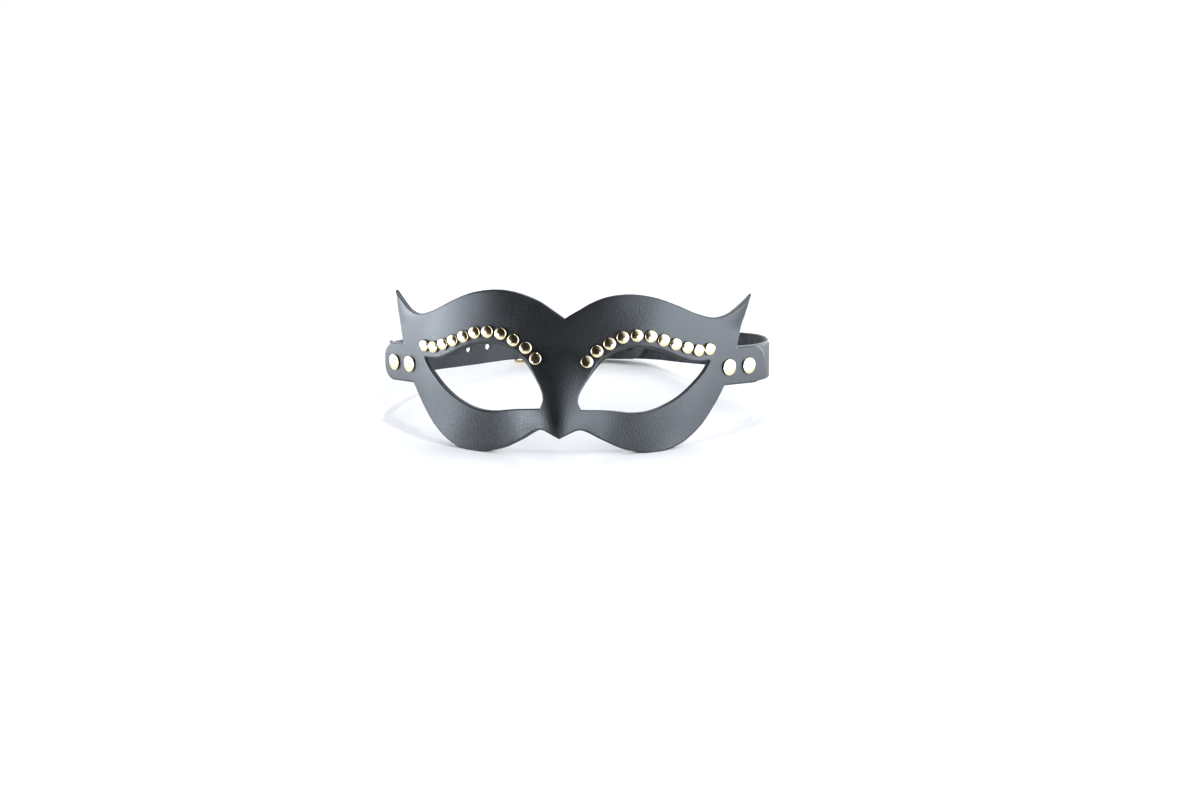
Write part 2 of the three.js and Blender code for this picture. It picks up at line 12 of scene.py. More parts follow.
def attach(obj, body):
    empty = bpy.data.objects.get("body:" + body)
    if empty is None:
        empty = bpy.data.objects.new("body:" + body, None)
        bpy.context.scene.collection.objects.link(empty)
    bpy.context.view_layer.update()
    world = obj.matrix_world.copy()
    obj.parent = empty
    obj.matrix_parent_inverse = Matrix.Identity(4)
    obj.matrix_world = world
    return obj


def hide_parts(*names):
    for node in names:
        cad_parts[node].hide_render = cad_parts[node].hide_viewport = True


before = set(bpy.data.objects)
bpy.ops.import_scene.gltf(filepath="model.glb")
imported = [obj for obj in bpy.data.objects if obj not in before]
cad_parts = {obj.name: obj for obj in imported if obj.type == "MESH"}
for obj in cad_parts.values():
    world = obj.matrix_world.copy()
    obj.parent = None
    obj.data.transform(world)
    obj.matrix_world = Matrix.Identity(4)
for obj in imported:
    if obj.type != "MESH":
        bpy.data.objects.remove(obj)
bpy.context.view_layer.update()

bl_info = {
    "name": "Studded leather mask",
    "version": (1, 0, 0),
    "blender": (4, 5, 0),
    "location": "View3D > Sidebar > Mask",
    "description": "Dresses a studded leather eye mask with its leather, brass, light and camera",
    "category": "Object",
}

MM = 0.001
BODY = "root"

# Place of the upright band in the frame, and its lean back on to the floor
BAND_ORIGIN = (-2.218, -74.076, -0.251)
BAND_LEAN = math.radians(12.645)

# Form of the mask
SIDE_TURN = math.radians(42)
TURN_REACH = 104
NOSE_RISE = 13.6
NOSE_SPREAD = 12.9
RIDGE_PLACE = -1.5
NOSE_TOP = 57
NOSE_FULL = 15
HORN_SWEEP = 10
HORN_START = 76
HORN_REACH = 106
HORN_LOW = 60
HORN_HIGH = 82
CHEEK_FLARE = 1.6
FLARE_TOP = 27
CHEEK_REACH = (14, 30)
WAVE_REACH = (4, 20)
TAB_FADE = (76, 92)
HAND_BENT = 0.016
HAND_BENT_REACH = 12
NOTCH_SHIFT = 1.7
NOTCH_REACH = 9

# Pattern of the mask, as half outlines from the notch between the brows to the tip of the nose
BAND_LOW = 33.3
LEFT_TAB_END = 115
RIGHT_TAB_END = 117.4
TAB_CORNER = 8
EYE_TOP = 55.4
BROW = [(0, 69.7), (6, 73.8), (15, 78.8), (25, 82.1), (36, 82.9), (48, 81.1), (60, 76.8), (72, 71.9),
        (82, 69.8), (91, 71.3), (99.6, 75.6), (107.8, 80.8)]
HORN_SIDE = [(107.8, 80.8), (104.3, 72.4), (100.1, 63.8), (97.2, 53.3)]
CHEEK = [(88.8, BAND_LOW), (81.6, 22.9), (72.4, 12.3), (60, 4), (46, 0.9), (32.2, 3.1), (21.6, 8),
         (13.6, 13.1), (9.4, 14.3), (5.6, 13), (0, 10.3)]
EYE_BROW = [(79, 47.2), (72, 46.9), (66, 47.4), (60, 49.2), (54, 51.9), (47, 54.2), (38, EYE_TOP), (32, 54.6),
            (27, 52.8), (22.6, 49.9), (18, 45.6), (11.2, 35.6), (9.1, 29.4), (10.6, 25)]
EYE_CHEEK = [(10.6, 25), (25, 23.4), (37, 22), (48, 23.7), (61.2, 29.9), (73.4, 40), (79, 47.2)]
STUD_ROW = [(78, 53.4), (71.6, 53.1), (59.2, 56.6), (45.6, 61.2), (38.6, 61.9), (31.2, 61.1), (18.4, 54.3),
            (13, 48.6)]
STUDS_PER_SIDE = 11
STUD_DRIFT = 1.25
TAB_RIVETS = (91.2, 105)
TAB_RIVET_HEIGHT = 43
POST_RADIUS = 1.3
POST_HOLE_SIDES = 12

# Caps: their crown's ball and their shoulder as shares of their radius, the height up to which their foot is
# painted with shade, and how far a hand setter tips them, as a slope
CAP_SIDES = 32
STUD_CROWN = 2.9
STUD_SHOULDER = 0.2
STUD_FOOT = 1.2
STUD_TIP = 0.02
RIVET_CROWN = 9
RIVET_SHOULDER = 0.08
RIVET_FOOT = 0.7
TAB_RIVET_TIP = 0.015
STRAP_RIVET_TIP = 0.01

# Clearance between pieces
GAP = 0.3

# The leather is rolled in along the upper and nose sides of each eye
EYE_ROLL = 2.2
ROLL_FADE = (76, 60)
ROLL_LOW = (38, 50)

# Strap loop in plan, and the stations along it from its left end
LOOP_BACK = [(-99.8, 51), (-98.6, 66), (-84.5, 96), (-68.5, 115.5), (-50, 132), (-22, 142), (16, 143.6),
             (40, 134.5), (58, 114), (84, 88), (102, 72), (105.2, 58)]
TAB_LINE = (84, 92, 100, 107, 112)
BACK_RISE = 1.3
BACK_TILT = 0.024
RISE_REACH = (42, 85)
BUCKLE_LIFT = 1.5
LIFT_PLACE = -40
LIFT_SPREAD = 22
FIRST_HOLE = 106.9
HOLE_PITCH = 14
HOLE_COUNT = 5
HOLE_IN_USE = 3
HOLE_PULL = 1.6
HOLE_ROW = 43
FAR_BAR = 140.5
PIVOT_BAR = 156.9
TONGUE_CROSSING = 148.2
STRAP_RIVETS = (182, 212)
STRAP_RIVET_HEIGHT = 42
KEEPER_STATION = 192.6
FOLD_END = 223.7
BILLET_END = 236
BILLET_TIP = 9
BAR_THICKNESS = 2.4
BAR_PLAY = 0.1
FRAME_HEIGHT = 26
FRAME_INNER_HEIGHT = 22
FRAME_CORNER = 2.6
KEEPER_LENGTH = 6
KEEPER_WALL = 0.9
KEEPER_CORNER = 1.6
TONGUE_RISE = 0.85
TONGUE_SLOT = 3.4
TONGUE_PAST_BAR = 1.6
TONGUE_HALF = 0.9
TONGUE_ROLL = 0.6
TONGUE_SPREAD = 1.35
TONGUE_SIDES = 14
LAYER_SPACE = 0.35

# Cutting: roundings of the strap's edges, spacing of the points inside each piece, and the distances from the
# mask's edge at which its bevel and its roll get rings of points
STRAP_ROUNDING = (0.5, 0.35)
STRAP_PITCH = 1.6
MASK_PITCH = 1.5
MASK_STEPS = (0.06, 0.18, 0.375, 0.75, 1.2, 1.75, 2.4)

# Camera: millimetres in the frame, degrees, and the lens on a 36 mm wide sensor
CAMERA_PLACE = (74.4, -681.6, 255.2)
CAMERA_AZIMUTH = 5.33
CAMERA_ELEVATION = 20.27
CAMERA_ROLL = -1.58

# Bright walls round the room, in degrees: azimuth of the middle from the front, half width, soft edge, and
# the height over which the wall fades to a third
LEFT_WALL = (-72.4, 0, 22, 15)
RIGHT_WALL = (60, 17.5, 13, 41)
BACK_WALL = (180, 65, 35, 8)
FRONT_LEFT_STRIP = (-47.5, 3, 12, 2.5)
FRONT_RIGHT_STRIP = (30, 3, 12, 2.5)

# Skylights, in degrees: lean from straight up, azimuth, and how far from the middle each ends and is full
SIDE_SKYLIGHT = (56, 90, 70, 45)
BACK_SKYLIGHT = (38, 180, 22, 16)

# Depth of the leather's grain and of the scratches in the brass, in metres
LEATHER_BUMP = 0.00009
BRASS_BUMP = 0.000002

# Small lamp overhead, in metres: middle and width
LAMP = ((0.05, 0.15, 1.2), 0.03)


def length_setting(name, description, default):
    return bpy.props.FloatProperty(name=name, description=description, default=default, unit="LENGTH")


def brightness_setting(name, description, default):
    return bpy.props.FloatProperty(name=name, description=description, default=default, min=0)


def colour_setting(name, description, default):
    return bpy.props.FloatVectorProperty(
        name=name, description=description, subtype="COLOR", size=3, default=default)


class MaskSizes(bpy.types.PropertyGroup):
    """Thicknesses and radii of the leather and its metal"""

    mask_thickness: length_setting("Mask leather", "Thickness of the moulded leather", 0.0028)
    strap_thickness: length_setting("Strap leather", "Thickness of both straps", 0.0024)
    strap_width: length_setting("Strap width", "Height of the straps and tabs", 0.020)
    outer_rounding: length_setting("Edge rounding", "Radius of the bevelled outer edge", 0.00075)
    inner_rounding: length_setting("Inner rounding", "Radius of the inner edge", 0.00035)
    stud_radius: length_setting("Stud radius", "Radius of a brow stud's cap", 0.0032)
    stud_rise: length_setting("Stud rise", "Height of a brow stud's cap", 0.0017)
    rivet_radius: length_setting("Rivet radius", "Radius of a rivet's cap", 0.0043)
    rivet_rise: length_setting("Rivet rise", "Height of a rivet's cap", 0.0009)
    strap_rivet_radius: length_setting("Strap rivet radius", "Radius of the caps by the keeper", 0.0034)
    hole_radius: length_setting("Hole radius", "Radius of a punched strap hole", 0.0019)


class MaskColours(bpy.types.PropertyGroup):
    """Colours of the leather and the metal"""

    grain_side: colour_setting("Outer leather", "Dyed outer face", (0.0034, 0.0036, 0.0042))
    flesh_side: colour_setting("Inner leather", "Suede inner face", (0.030, 0.032, 0.037))
    # Also painted shade: the cut walls of the openings in the straps get this dark colour in place of the raw
    # edge colour
    burnished_edge_and_hole_shade: colour_setting("Burnished edge", "Cut edge of the mask", (0.006, 0.006, 0.007))
    raw_edge: colour_setting("Raw edge", "Cut edge of the straps", (0.12, 0.095, 0.062))
    brass: colour_setting("Brass", "Polished pale brass", (0.88, 0.76, 0.50))
    # Painted shade: this dark colour on the foot of each cap stands for the contact shadow round it
    painted_foot_shade: colour_setting("Painted foot shade", "Dark wax and tarnish round the foot of a cap", (0.035, 0.028, 0.02))


class MaskStage(bpy.types.PropertyGroup):
    """Floor, light and lens"""

    floor_front: length_setting("Floor front", "Reach of the floor towards the camera", 0.4)
    floor_side: length_setting("Floor side", "Reach of the floor to each side", 0.35)
    floor_back: length_setting("Floor back", "Reach of the floor behind the mask", 0.5)
    floor_colour: colour_setting("Floor colour", "Pale table top", (0.94, 0.925, 0.91))
    light_colour: colour_setting("Light colour", "Cool daylight", (0.95, 1.0, 1.07))
    dim_colour: colour_setting("Dim colour", "Warm dark room", (1.0, 0.7, 0.5))
    left_wall: brightness_setting("Left wall", "Brightness of the room's left side at the floor", 17.3)
    right_wall: brightness_setting("Right wall", "Brightness of the room's right side at the floor", 6.6)
    back_wall: brightness_setting("Back wall", "Brightness of the wall behind the mask at the floor", 10)
    front_strips: brightness_setting(
        "Front strips", "Brightness of the low strips in front of both walls", 10)
    side_skylight: brightness_setting("Side skylight", "Brightness of the wide light high at the right", 0.7)
    back_skylight: brightness_setting(
        "Back skylight", "Brightness of the light above and behind the mask", 3.6)
    dim_light: brightness_setting("Dim light", "Brightness of the warm dark room on the camera's side", 0.02)
    lamp: brightness_setting("Lamp", "Brightness of the small lamp overhead", 950)
    lens: bpy.props.FloatProperty(
        name="Lens", description="Focal length on a 36 mm sensor", default=39, unit="CAMERA")


def sizes():
    return bpy.context.scene.mask_sizes


def in_mm(length):
    return length / MM


# Shape of the leather

def smooth(value, low, high):
    share = np.clip((np.asarray(value, float) - low) / (high - low), 0, 1)
    return share * share * (3 - 2 * share)


PLAN_RUN = np.linspace(0, 125, 1251)
PLAN_TURN = SIDE_TURN * smooth(PLAN_RUN, 0, TURN_REACH)


def running_sum(values):
    steps = 0.5 * (values[1:] + values[:-1]) * np.diff(PLAN_RUN)
    return np.concatenate([[0], np.cumsum(steps)])


PLAN_X = running_sum(np.cos(PLAN_TURN))
PLAN_Y = running_sum(np.sin(PLAN_TURN))


def plan_at(u):
    """Plan of the mask's outer face: its turning angle grows smoothly from the nose to the tabs"""
    run = np.abs(u)
    side = np.sign(u)
    turn = side * np.interp(run, PLAN_RUN, PLAN_TURN)
    return side * np.interp(run, PLAN_RUN, PLAN_X), np.interp(run, PLAN_RUN, PLAN_Y), turn


def relief(u, v):
    """The nose rises forward to a ridge, the horns sweep back, the cheeks flare at their lower edge, and the
    hand-wetted leather waves a little"""
    nose = NOSE_RISE * (1 - smooth(v, NOSE_FULL, NOSE_TOP))
    ridge = nose * np.exp(-0.5 * ((u - RIDGE_PLACE) / NOSE_SPREAD) ** 2)
    horn = smooth(np.abs(u), HORN_START, HORN_REACH) * smooth(v, HORN_LOW, HORN_HIGH)
    wave = 0.10 * np.sin(u / 9.1 + 0.4 * np.sin(v / 7)) * np.sin(v / 8.3 + 1.1)
    wave = wave + 0.06 * np.sin(u / 4.7 - v / 6.1)
    off_tabs = 1 - smooth(np.abs(u), *TAB_FADE)
    cheek = smooth(np.abs(u), *CHEEK_REACH) * off_tabs
    flare = CHEEK_FLARE * np.clip(1 - v / FLARE_TOP, 0, 1) ** 2 * cheek
    return HORN_SWEEP * horn - ridge - flare + wave * smooth(np.abs(u), *WAVE_REACH) * off_tabs


def face_point(u, v):
    x, y, _ = plan_at(u)
    share = np.sign(u) * smooth(np.abs(u), 0, HAND_BENT_REACH)
    return np.stack([x, y + relief(u, v), v * (1 - HAND_BENT * share)], axis=-1)


def unit(vectors):
    return vectors / np.linalg.norm(vectors, axis=-1, keepdims=True)


def face_normal(u, v):
    reach = 0.05
    across = face_point(u + reach, v) - face_point(u - reach, v)
    upward = face_point(u, v + reach) - face_point(u, v - reach)
    return unit(np.cross(across, upward))


def on_mask(u, v, w):
    u, v, w = (np.asarray(values, float) for values in (u, v, w))
    return face_point(u, v) + face_normal(u, v) * w[..., None]


def lean_back(directions):
    """Turns directions of the upright band as it leans back"""
    cosine, sine = math.cos(BAND_LEAN), math.sin(BAND_LEAN)
    turn = np.array([[1, 0, 0], [0, cosine, sine], [0, -sine, cosine]])
    return np.asarray(directions, float) @ turn.T


def to_frame(points):
    """Sets points of the upright band in the frame, in metres"""
    return (lean_back(points) + BAND_ORIGIN) * MM


def catmull_rom(points, per_span, centripetal=False):
    """Smooth line through the points. The plain kind clamps its ends, the centripetal kind runs past them"""
    p = np.asarray(points, float)
    first, last = (2 * p[0] - p[1], 2 * p[-1] - p[-2]) if centripetal else (p[0], p[-1])
    padded = np.vstack([first, p, last])
    spans = []
    share = np.linspace(0, 1, per_span, endpoint=False)[:, None]
    for p0, p1, p2, p3 in zip(padded, padded[1:], padded[2:], padded[3:]):
        start, end = (p2 - p0) / 2, (p3 - p1) / 2
        if centripetal:
            d0, d1, d2 = (math.sqrt(np.linalg.norm(b - a)) for a, b in ((p0, p1), (p1, p2), (p2, p3)))
            start = ((p1 - p0) / d0 - (p2 - p0) / (d0 + d1) + (p2 - p1) / d1) * d1
            end = ((p2 - p1) / d1 - (p3 - p1) / (d1 + d2) + (p3 - p2) / d2) * d1
        cubic = 2 * p1 - 2 * p2 + start + end
        square = -3 * p1 + 3 * p2 - 2 * start - end
        spans.append(((cubic * share + square) * share + start) * share + p1)
    return np.vstack([*spans, p[-1:]])


def run_along(line):
    return np.concatenate([[0], np.cumsum(np.linalg.norm(np.diff(line, axis=0), axis=1))])


def even_points(line, pitch):
    """The line again with points an even pitch apart, ends kept"""
    line = np.asarray(line, float)
    run = run_along(line)
    steps = np.linspace(0, run[-1], max(2, round(run[-1] / pitch) + 1))
    return np.stack([np.interp(steps, run, line[:, i]) for i in range(line.shape[1])], axis=1)


def arc(centre, radius, start, end, count):
    angles = np.radians(np.linspace(start, end, count))
    across, up = (radius, radius) if np.isscalar(radius) else radius
    return np.stack([centre[0] + across * np.cos(angles), centre[1] + up * np.sin(angles)], axis=1)


# Flat pieces with rounded edges

def closed(line):
    """Drops points of a closed line that repeat the one before"""
    line = np.asarray(line, float)
    keep = np.linalg.norm(line - np.roll(line, 1, axis=0), axis=1) > 1e-4
    return line[keep]


def signed_area(loop):
    ahead = np.roll(loop, -1, axis=0)
    return 0.5 * np.sum(loop[:, 0] * ahead[:, 1] - ahead[:, 0] * loop[:, 1])


def edge_distance(points, loops):
    nearest = np.full(len(points), np.inf)
    for loop in loops:
        along = np.roll(loop, -1, axis=0) - loop
        length = (along ** 2).sum(1)
        for start in range(0, len(points), 4096):
            part = slice(start, start + 4096)
            away = points[part, None] - loop
            share = np.clip((away * along).sum(2) / length, 0, 1)
            gap = np.linalg.norm(away - share[..., None] * along, axis=2).min(1)
            nearest[part] = np.minimum(nearest[part], gap)
    return nearest


def on_material(points, loops):
    """Which points lie inside the first loop and outside the others"""
    inside = np.zeros(len(points), bool)
    for loop in loops:
        (ax, ay), (bx, by) = loop.T, np.roll(loop, -1, axis=0).T
        rise = np.where(by == ay, 1, by - ay)
        for start in range(0, len(points), 4096):
            part = slice(start, start + 4096)
            x, y = points[part, 0, None], points[part, 1, None]
            crosses = ((ay > y) != (by > y)) & (x < ax + (y - ay) / rise * (bx - ax))
            inside[part] ^= crosses.sum(1) % 2 == 1
    return inside


def inset_ring(loop, distance, loops):
    """Points a distance in from the edge, without those that a corner crowds out"""
    ahead = unit(np.roll(loop, -1, axis=0) - loop)
    behind = np.roll(ahead, 1, axis=0)
    mean = unit(ahead + behind)
    inward = np.stack([-mean[:, 1], mean[:, 0]], axis=1)
    lean = np.clip((ahead * mean).sum(1), 0.5, 1)[:, None]
    ring = loop + inward * distance / lean
    return ring[edge_distance(ring, loops) > 0.96 * distance]


def rounded_fall(distance, radius):
    """How far a face falls towards its rounded edge, at a distance from it"""
    inset = np.clip(radius - distance, 0, radius)
    return radius - np.sqrt(radius * radius - inset * inset)


def flat_piece(loops, thickness, rounding, pitch, plain_holes=(), steps=None, roll=None):
    """Closed flat piece cut along its loops, with the outer face at w = 0 and its edges rounded.
    Steps are the distances from the edge at which it gets rings of points, and roll gives each point's
    extra fall of the outer face. Returns points (u, v, w), faces, and each point's distances from the
    nearest rounded edge and from the nearest of the inner loops."""
    loops = [loop if (signed_area(loop) > 0) == (i == 0) else loop[::-1] for i, loop in enumerate(loops)]
    holes = [loop if signed_area(loop) < 0 else loop[::-1] for loop in plain_holes]
    outer, inner = rounding
    steps = steps or [max(outer, inner) * share for share in (0.134, 0.5, 1, 1.9)]
    rings = [inset_ring(loop, step, loops) for loop in loops for step in steps]
    low, high = loops[0].min(0), loops[0].max(0)
    row = np.arange(low[1], high[1], pitch * math.sqrt(3) / 2)
    column = np.arange(low[0], high[0], pitch)
    grid = np.stack([np.tile(column, len(row)), np.repeat(row, len(column))], axis=1)
    grid[:, 0] += np.repeat((np.arange(len(row)) % 2) * pitch / 2, len(column))
    grid = grid[on_material(grid, loops + holes)]
    clear = edge_distance(grid, loops) > steps[-1] + 0.45 * pitch
    if holes:
        clear &= edge_distance(grid, holes) > 0.4
    points = np.vstack([*loops, *holes, *rings, grid[clear]])
    edges, start = [], 0
    for loop in [*loops, *holes]:
        count = len(loop)
        edges += [(start + i, start + (i + 1) % count) for i in range(count)]
        start += count
    made = delaunay_2d_cdt([Vector(point) for point in points], edges, [], 0, 1e-5)
    flat = np.array([tuple(point) for point in made[0]])
    triangles = np.array(made[2])
    triangles = triangles[on_material(flat[triangles].mean(1), loops + holes)]
    used = np.unique(triangles)
    renumber = np.zeros(len(flat), int)
    renumber[used] = np.arange(len(used))
    flat, triangles = flat[used], renumber[triangles]
    a, b, c = (flat[triangles[:, i]] for i in range(3))
    turned = (b[:, 0] - a[:, 0]) * (c[:, 1] - a[:, 1]) < (b[:, 1] - a[:, 1]) * (c[:, 0] - a[:, 0])
    triangles[turned] = triangles[turned][:, ::-1]
    count = len(flat)
    distance = edge_distance(flat, loops)

    fall = rounded_fall(distance, outer)
    if roll:
        fall = np.maximum(fall, roll(flat))
    top = np.column_stack([flat, -fall])
    bottom = np.column_stack([flat, rounded_fall(distance, inner) - thickness])
    sides = np.sort(triangles[:, [0, 1, 1, 2, 2, 0]].reshape(-1, 2), axis=1)
    order, seen = np.unique(sides, axis=0, return_counts=True)
    rim = {tuple(pair) for pair in order[seen == 1]}
    walls = []
    for i, j, k in triangles.tolist():
        for start, end in ((i, j), (j, k), (k, i)):
            if (min(start, end), max(start, end)) in rim:
                walls.append((end, start, start + count, end + count))
    faces = [*map(tuple, triangles.tolist()), *map(tuple, (triangles[:, ::-1] + count).tolist()), *walls]
    inner_loops = edge_distance(flat, loops[1:]) if len(loops) > 1 else np.full(count, np.inf)
    return np.vstack([top, bottom]), faces, np.tile([distance, inner_loops], 2)


def make_mesh(name, points, faces, attributes=None):
    """Object with a smooth mesh and float attributes on its points"""
    mesh = bpy.data.meshes.new(name)
    mesh.from_pydata(np.asarray(points).tolist(), [], faces)
    mesh.polygons.foreach_set("use_smooth", [True] * len(mesh.polygons))
    for label, values in (attributes or {}).items():
        kind = "FLOAT" if np.ndim(values) == 1 else "FLOAT_VECTOR"
        attribute = mesh.attributes.new(label, kind, "POINT")
        field = "value" if kind == "FLOAT" else "vector"
        attribute.data.foreach_set(field, np.asarray(values, np.float32).ravel())
    mesh.validate()
    piece = bpy.data.objects.new(name, mesh)
    bpy.context.scene.collection.objects.link(piece)
    return piece


def leather_attributes(points, distances, thickness):
    """How far each point is from the cut edge and from the nearest opening, in mm, and how deep it lies
    from the smooth face (0) to the suede face (1)"""
    edge, opening = distances
    depth = np.clip(-points[:, 2] / thickness, 0, 1)
    return {"edge": edge, "opening": np.minimum(opening, 100), "depth": depth}


def finish_piece(piece, material, slot, *nodes):
    """Gives a piece its finish, and lets it stand for its CAD nodes"""
    if piece.data.materials:
        piece.data.materials[0] = material
    else:
        piece.data.materials.append(material)
    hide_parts(*nodes)
    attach(piece, BODY)
    return piece


def nodes_named(start):
    return [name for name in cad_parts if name.startswith(start)]


# Node trees

def add_node(tree, kind, inputs=None, **settings):
    """Adds a node; an input is given by name or number as a value or as another node's socket"""
    node = tree.nodes.new(kind)
    for name, value in settings.items():
        setattr(node, name, value)
    for name, value in (inputs or {}).items():
        socket = node.inputs[name]
        if isinstance(value, bpy.types.NodeSocket):
            tree.links.new(value, socket)
        else:
            socket.default_value = value
    return node


def maths(tree, operation, *values, clamp=False):
    node = add_node(tree, "ShaderNodeMath", dict(enumerate(values)), operation=operation, use_clamp=clamp)
    return node.outputs[0]


def vector_maths(tree, operation, first, second):
    node = add_node(tree, "ShaderNodeVectorMath", {0: first, 1: second}, operation=operation)
    return node.outputs["Value" if operation == "DOT_PRODUCT" else 0]


def scaled(tree, vector, scale):
    return add_node(tree, "ShaderNodeVectorMath", {0: vector, "Scale": scale}, operation="SCALE").outputs[0]


def parts(tree, vector):
    return add_node(tree, "ShaderNodeSeparateXYZ", {0: vector}).outputs


def point_mask(tree, name):
    return add_node(tree, "ShaderNodeAttribute", attribute_name=name).outputs["Fac"]


def blend_colours(tree, share, first, second):
    return add_node(tree, "ShaderNodeMix", {0: share, 6: first, 7: second}, data_type="RGBA").outputs[2]


def remap(tree, value, low, high, to_low=0, to_high=1, soft=False):
    kind = "SMOOTHSTEP" if soft else "LINEAR"
    inputs = {"Value": value, "From Min": low, "From Max": high, "To Min": to_low, "To Max": to_high}
    return add_node(tree, "ShaderNodeMapRange", inputs, interpolation_type=kind).outputs[0]


def group_tree(kind, name, inputs, outputs):
    """New node group with named sockets; returns the tree, its input node and its output node"""
    tree = bpy.data.node_groups.new(name, kind)
    for direction, sockets in (("INPUT", inputs), ("OUTPUT", outputs)):
        for label, socket_type, *default in sockets:
            socket = tree.interface.new_socket(name=label, in_out=direction, socket_type=socket_type)
            if default:
                socket.default_value = default[0]
    return tree, tree.nodes.new("NodeGroupInput"), tree.nodes.new("NodeGroupOutput")


def noise(tree, vector, scale, detail=3.0, roughness=0.5):
    inputs = {"Vector": vector, "Scale": scale, "Detail": detail, "Roughness": roughness}
    return add_node(tree, "ShaderNodeTexNoise", inputs).outputs["Fac"]


def grain_group():
    """Fine grain of smooth dyed leather: a height for bumps, and a mask of rubbed and dull patches"""
    tree, given, result = group_tree(
        "ShaderNodeTree", "Leather grain",
        [("Vector", "NodeSocketVector"), ("Cell Size", "NodeSocketFloat", 0.0009),
         ("Wrinkle Depth", "NodeSocketFloat", 0.08), ("Pore Depth", "NodeSocketFloat", 0.06),
         ("Patch Size", "NodeSocketFloat", 0.02)],
        [("Height", "NodeSocketFloat"), ("Patches", "NodeSocketFloat"), ("Speckle", "NodeSocketFloat")])
    place = given.outputs["Vector"]
    cell = maths(tree, "DIVIDE", 1, given.outputs["Cell Size"])
    coarse = maths(tree, "MULTIPLY", cell, 0.6)
    wander = add_node(tree, "ShaderNodeTexNoise", {"Vector": place, "Scale": coarse}).outputs["Color"]
    shift = vector_maths(tree, "SUBTRACT", wander, (0.5, 0.5, 0.5))
    shift = scaled(tree, shift, maths(tree, "MULTIPLY", given.outputs["Cell Size"], 0.9))
    bent = vector_maths(tree, "ADD", place, shift)
    cells = add_node(
        tree, "ShaderNodeTexVoronoi", {"Vector": bent, "Scale": cell}, feature="DISTANCE_TO_EDGE")
    wrinkle = remap(tree, cells.outputs["Distance"], 0, 0.16, soft=True)
    wrinkle = maths(tree, "MULTIPLY", wrinkle, given.outputs["Wrinkle Depth"])
    mottle = noise(tree, place, maths(tree, "MULTIPLY", cell, 1.1), 1.0)
    mottle = maths(tree, "MULTIPLY", mottle, 1.5)
    pores = noise(tree, place, maths(tree, "MULTIPLY", cell, 3.1), 2.0)
    pores = maths(tree, "MULTIPLY", pores, given.outputs["Pore Depth"])
    patches = noise(tree, place, maths(tree, "DIVIDE", 1, given.outputs["Patch Size"]), 4.0, 0.55)
    height = maths(tree, "ADD", maths(tree, "ADD", wrinkle, pores), mottle)
    tree.links.new(height, result.inputs["Height"])
    tree.links.new(remap(tree, patches, 0.32, 0.68), result.inputs["Patches"])
    tree.links.new(noise(tree, place, maths(tree, "MULTIPLY", cell, 1.3), 1.0), result.inputs["Speckle"])
    return tree


def flesh_group():
    """Suede inner side: fibres for bumps, and cloudy stains where the dye took unevenly"""
    tree, given, result = group_tree(
        "ShaderNodeTree", "Flesh side",
        [("Vector", "NodeSocketVector"), ("Fibre Size", "NodeSocketFloat", 0.0005),
         ("Stain Size", "NodeSocketFloat", 0.005)],
        [("Height", "NodeSocketFloat"), ("Stain", "NodeSocketFloat")])
    place = given.outputs["Vector"]
    fibre = maths(tree, "DIVIDE", 1, given.outputs["Fibre Size"])
    stain = noise(tree, place, maths(tree, "DIVIDE", 1, given.outputs["Stain Size"]), 5.0, 0.62)
    tree.links.new(noise(tree, place, fibre, 4.0, 0.7), result.inputs["Height"])
    tree.links.new(remap(tree, stain, 0.36, 0.7), result.inputs["Stain"])
    return tree


def edge_group():
    """Where the cut edge is, the rubbed line just inside it on the outer face, and the openings whose cut
    walls get painted shade
    """
    tree, given, result = group_tree(
        "ShaderNodeTree", "Cut edge",
        [("Edge Start", "NodeSocketFloat", 0.34), ("Edge End", "NodeSocketFloat", 0.8),
         ("Rubbed Width", "NodeSocketFloat", 1.1)],
        [("Cut", "NodeSocketFloat"), ("Inner", "NodeSocketFloat"), ("Rubbed", "NodeSocketFloat"),
         ("Opening", "NodeSocketFloat")])
    edge, depth = point_mask(tree, "edge"), point_mask(tree, "depth")
    # Painted shade: this marks the cut wall near an opening so that it can be darkened
    opening = remap(tree, point_mask(tree, "opening"), 0.3, 0.9, 1, 0)

    def past_depth(middle):
        blur = 0.06
        low, high = maths(tree, "SUBTRACT", middle, blur), maths(tree, "ADD", middle, blur)
        return remap(tree, depth, low, high, soft=True)

    past, inner = past_depth(given.outputs["Edge Start"]), past_depth(given.outputs["Edge End"])
    near = remap(tree, edge, 0.02, 0.3, 1, 0)
    cut = maths(tree, "MULTIPLY", maths(tree, "SUBTRACT", past, inner), near, clamp=True)
    outer = maths(tree, "SUBTRACT", 1, past)
    beside = remap(tree, edge, 0, given.outputs["Rubbed Width"], 1, 0, soft=True)
    rubbed = maths(tree, "MULTIPLY", outer, beside)
    for name, mask in (("Cut", cut), ("Inner", inner), ("Rubbed", rubbed), ("Opening", opening)):
        tree.links.new(mask, result.inputs[name])
    return tree


def polish_group():
    """Hairline scratches and thumbed patches of polished metal"""
    tree, given, result = group_tree(
        "ShaderNodeTree", "Hand polish",
        [("Vector", "NodeSocketVector"), ("Patch Size", "NodeSocketFloat", 0.004),
         ("Scratch Size", "NodeSocketFloat", 0.0006)],
        [("Dull", "NodeSocketFloat"), ("Height", "NodeSocketFloat")])
    place = given.outputs["Vector"]
    patch = noise(tree, place, maths(tree, "DIVIDE", 1, given.outputs["Patch Size"]), 3.0)
    drawn = vector_maths(tree, "MULTIPLY", place, (1, 1, 0.15))
    scratch = noise(tree, drawn, maths(tree, "DIVIDE", 1, given.outputs["Scratch Size"]), 2.0)
    tree.links.new(remap(tree, patch, 0.3, 0.7), result.inputs["Dull"])
    tree.links.new(scratch, result.inputs["Height"])
    return tree


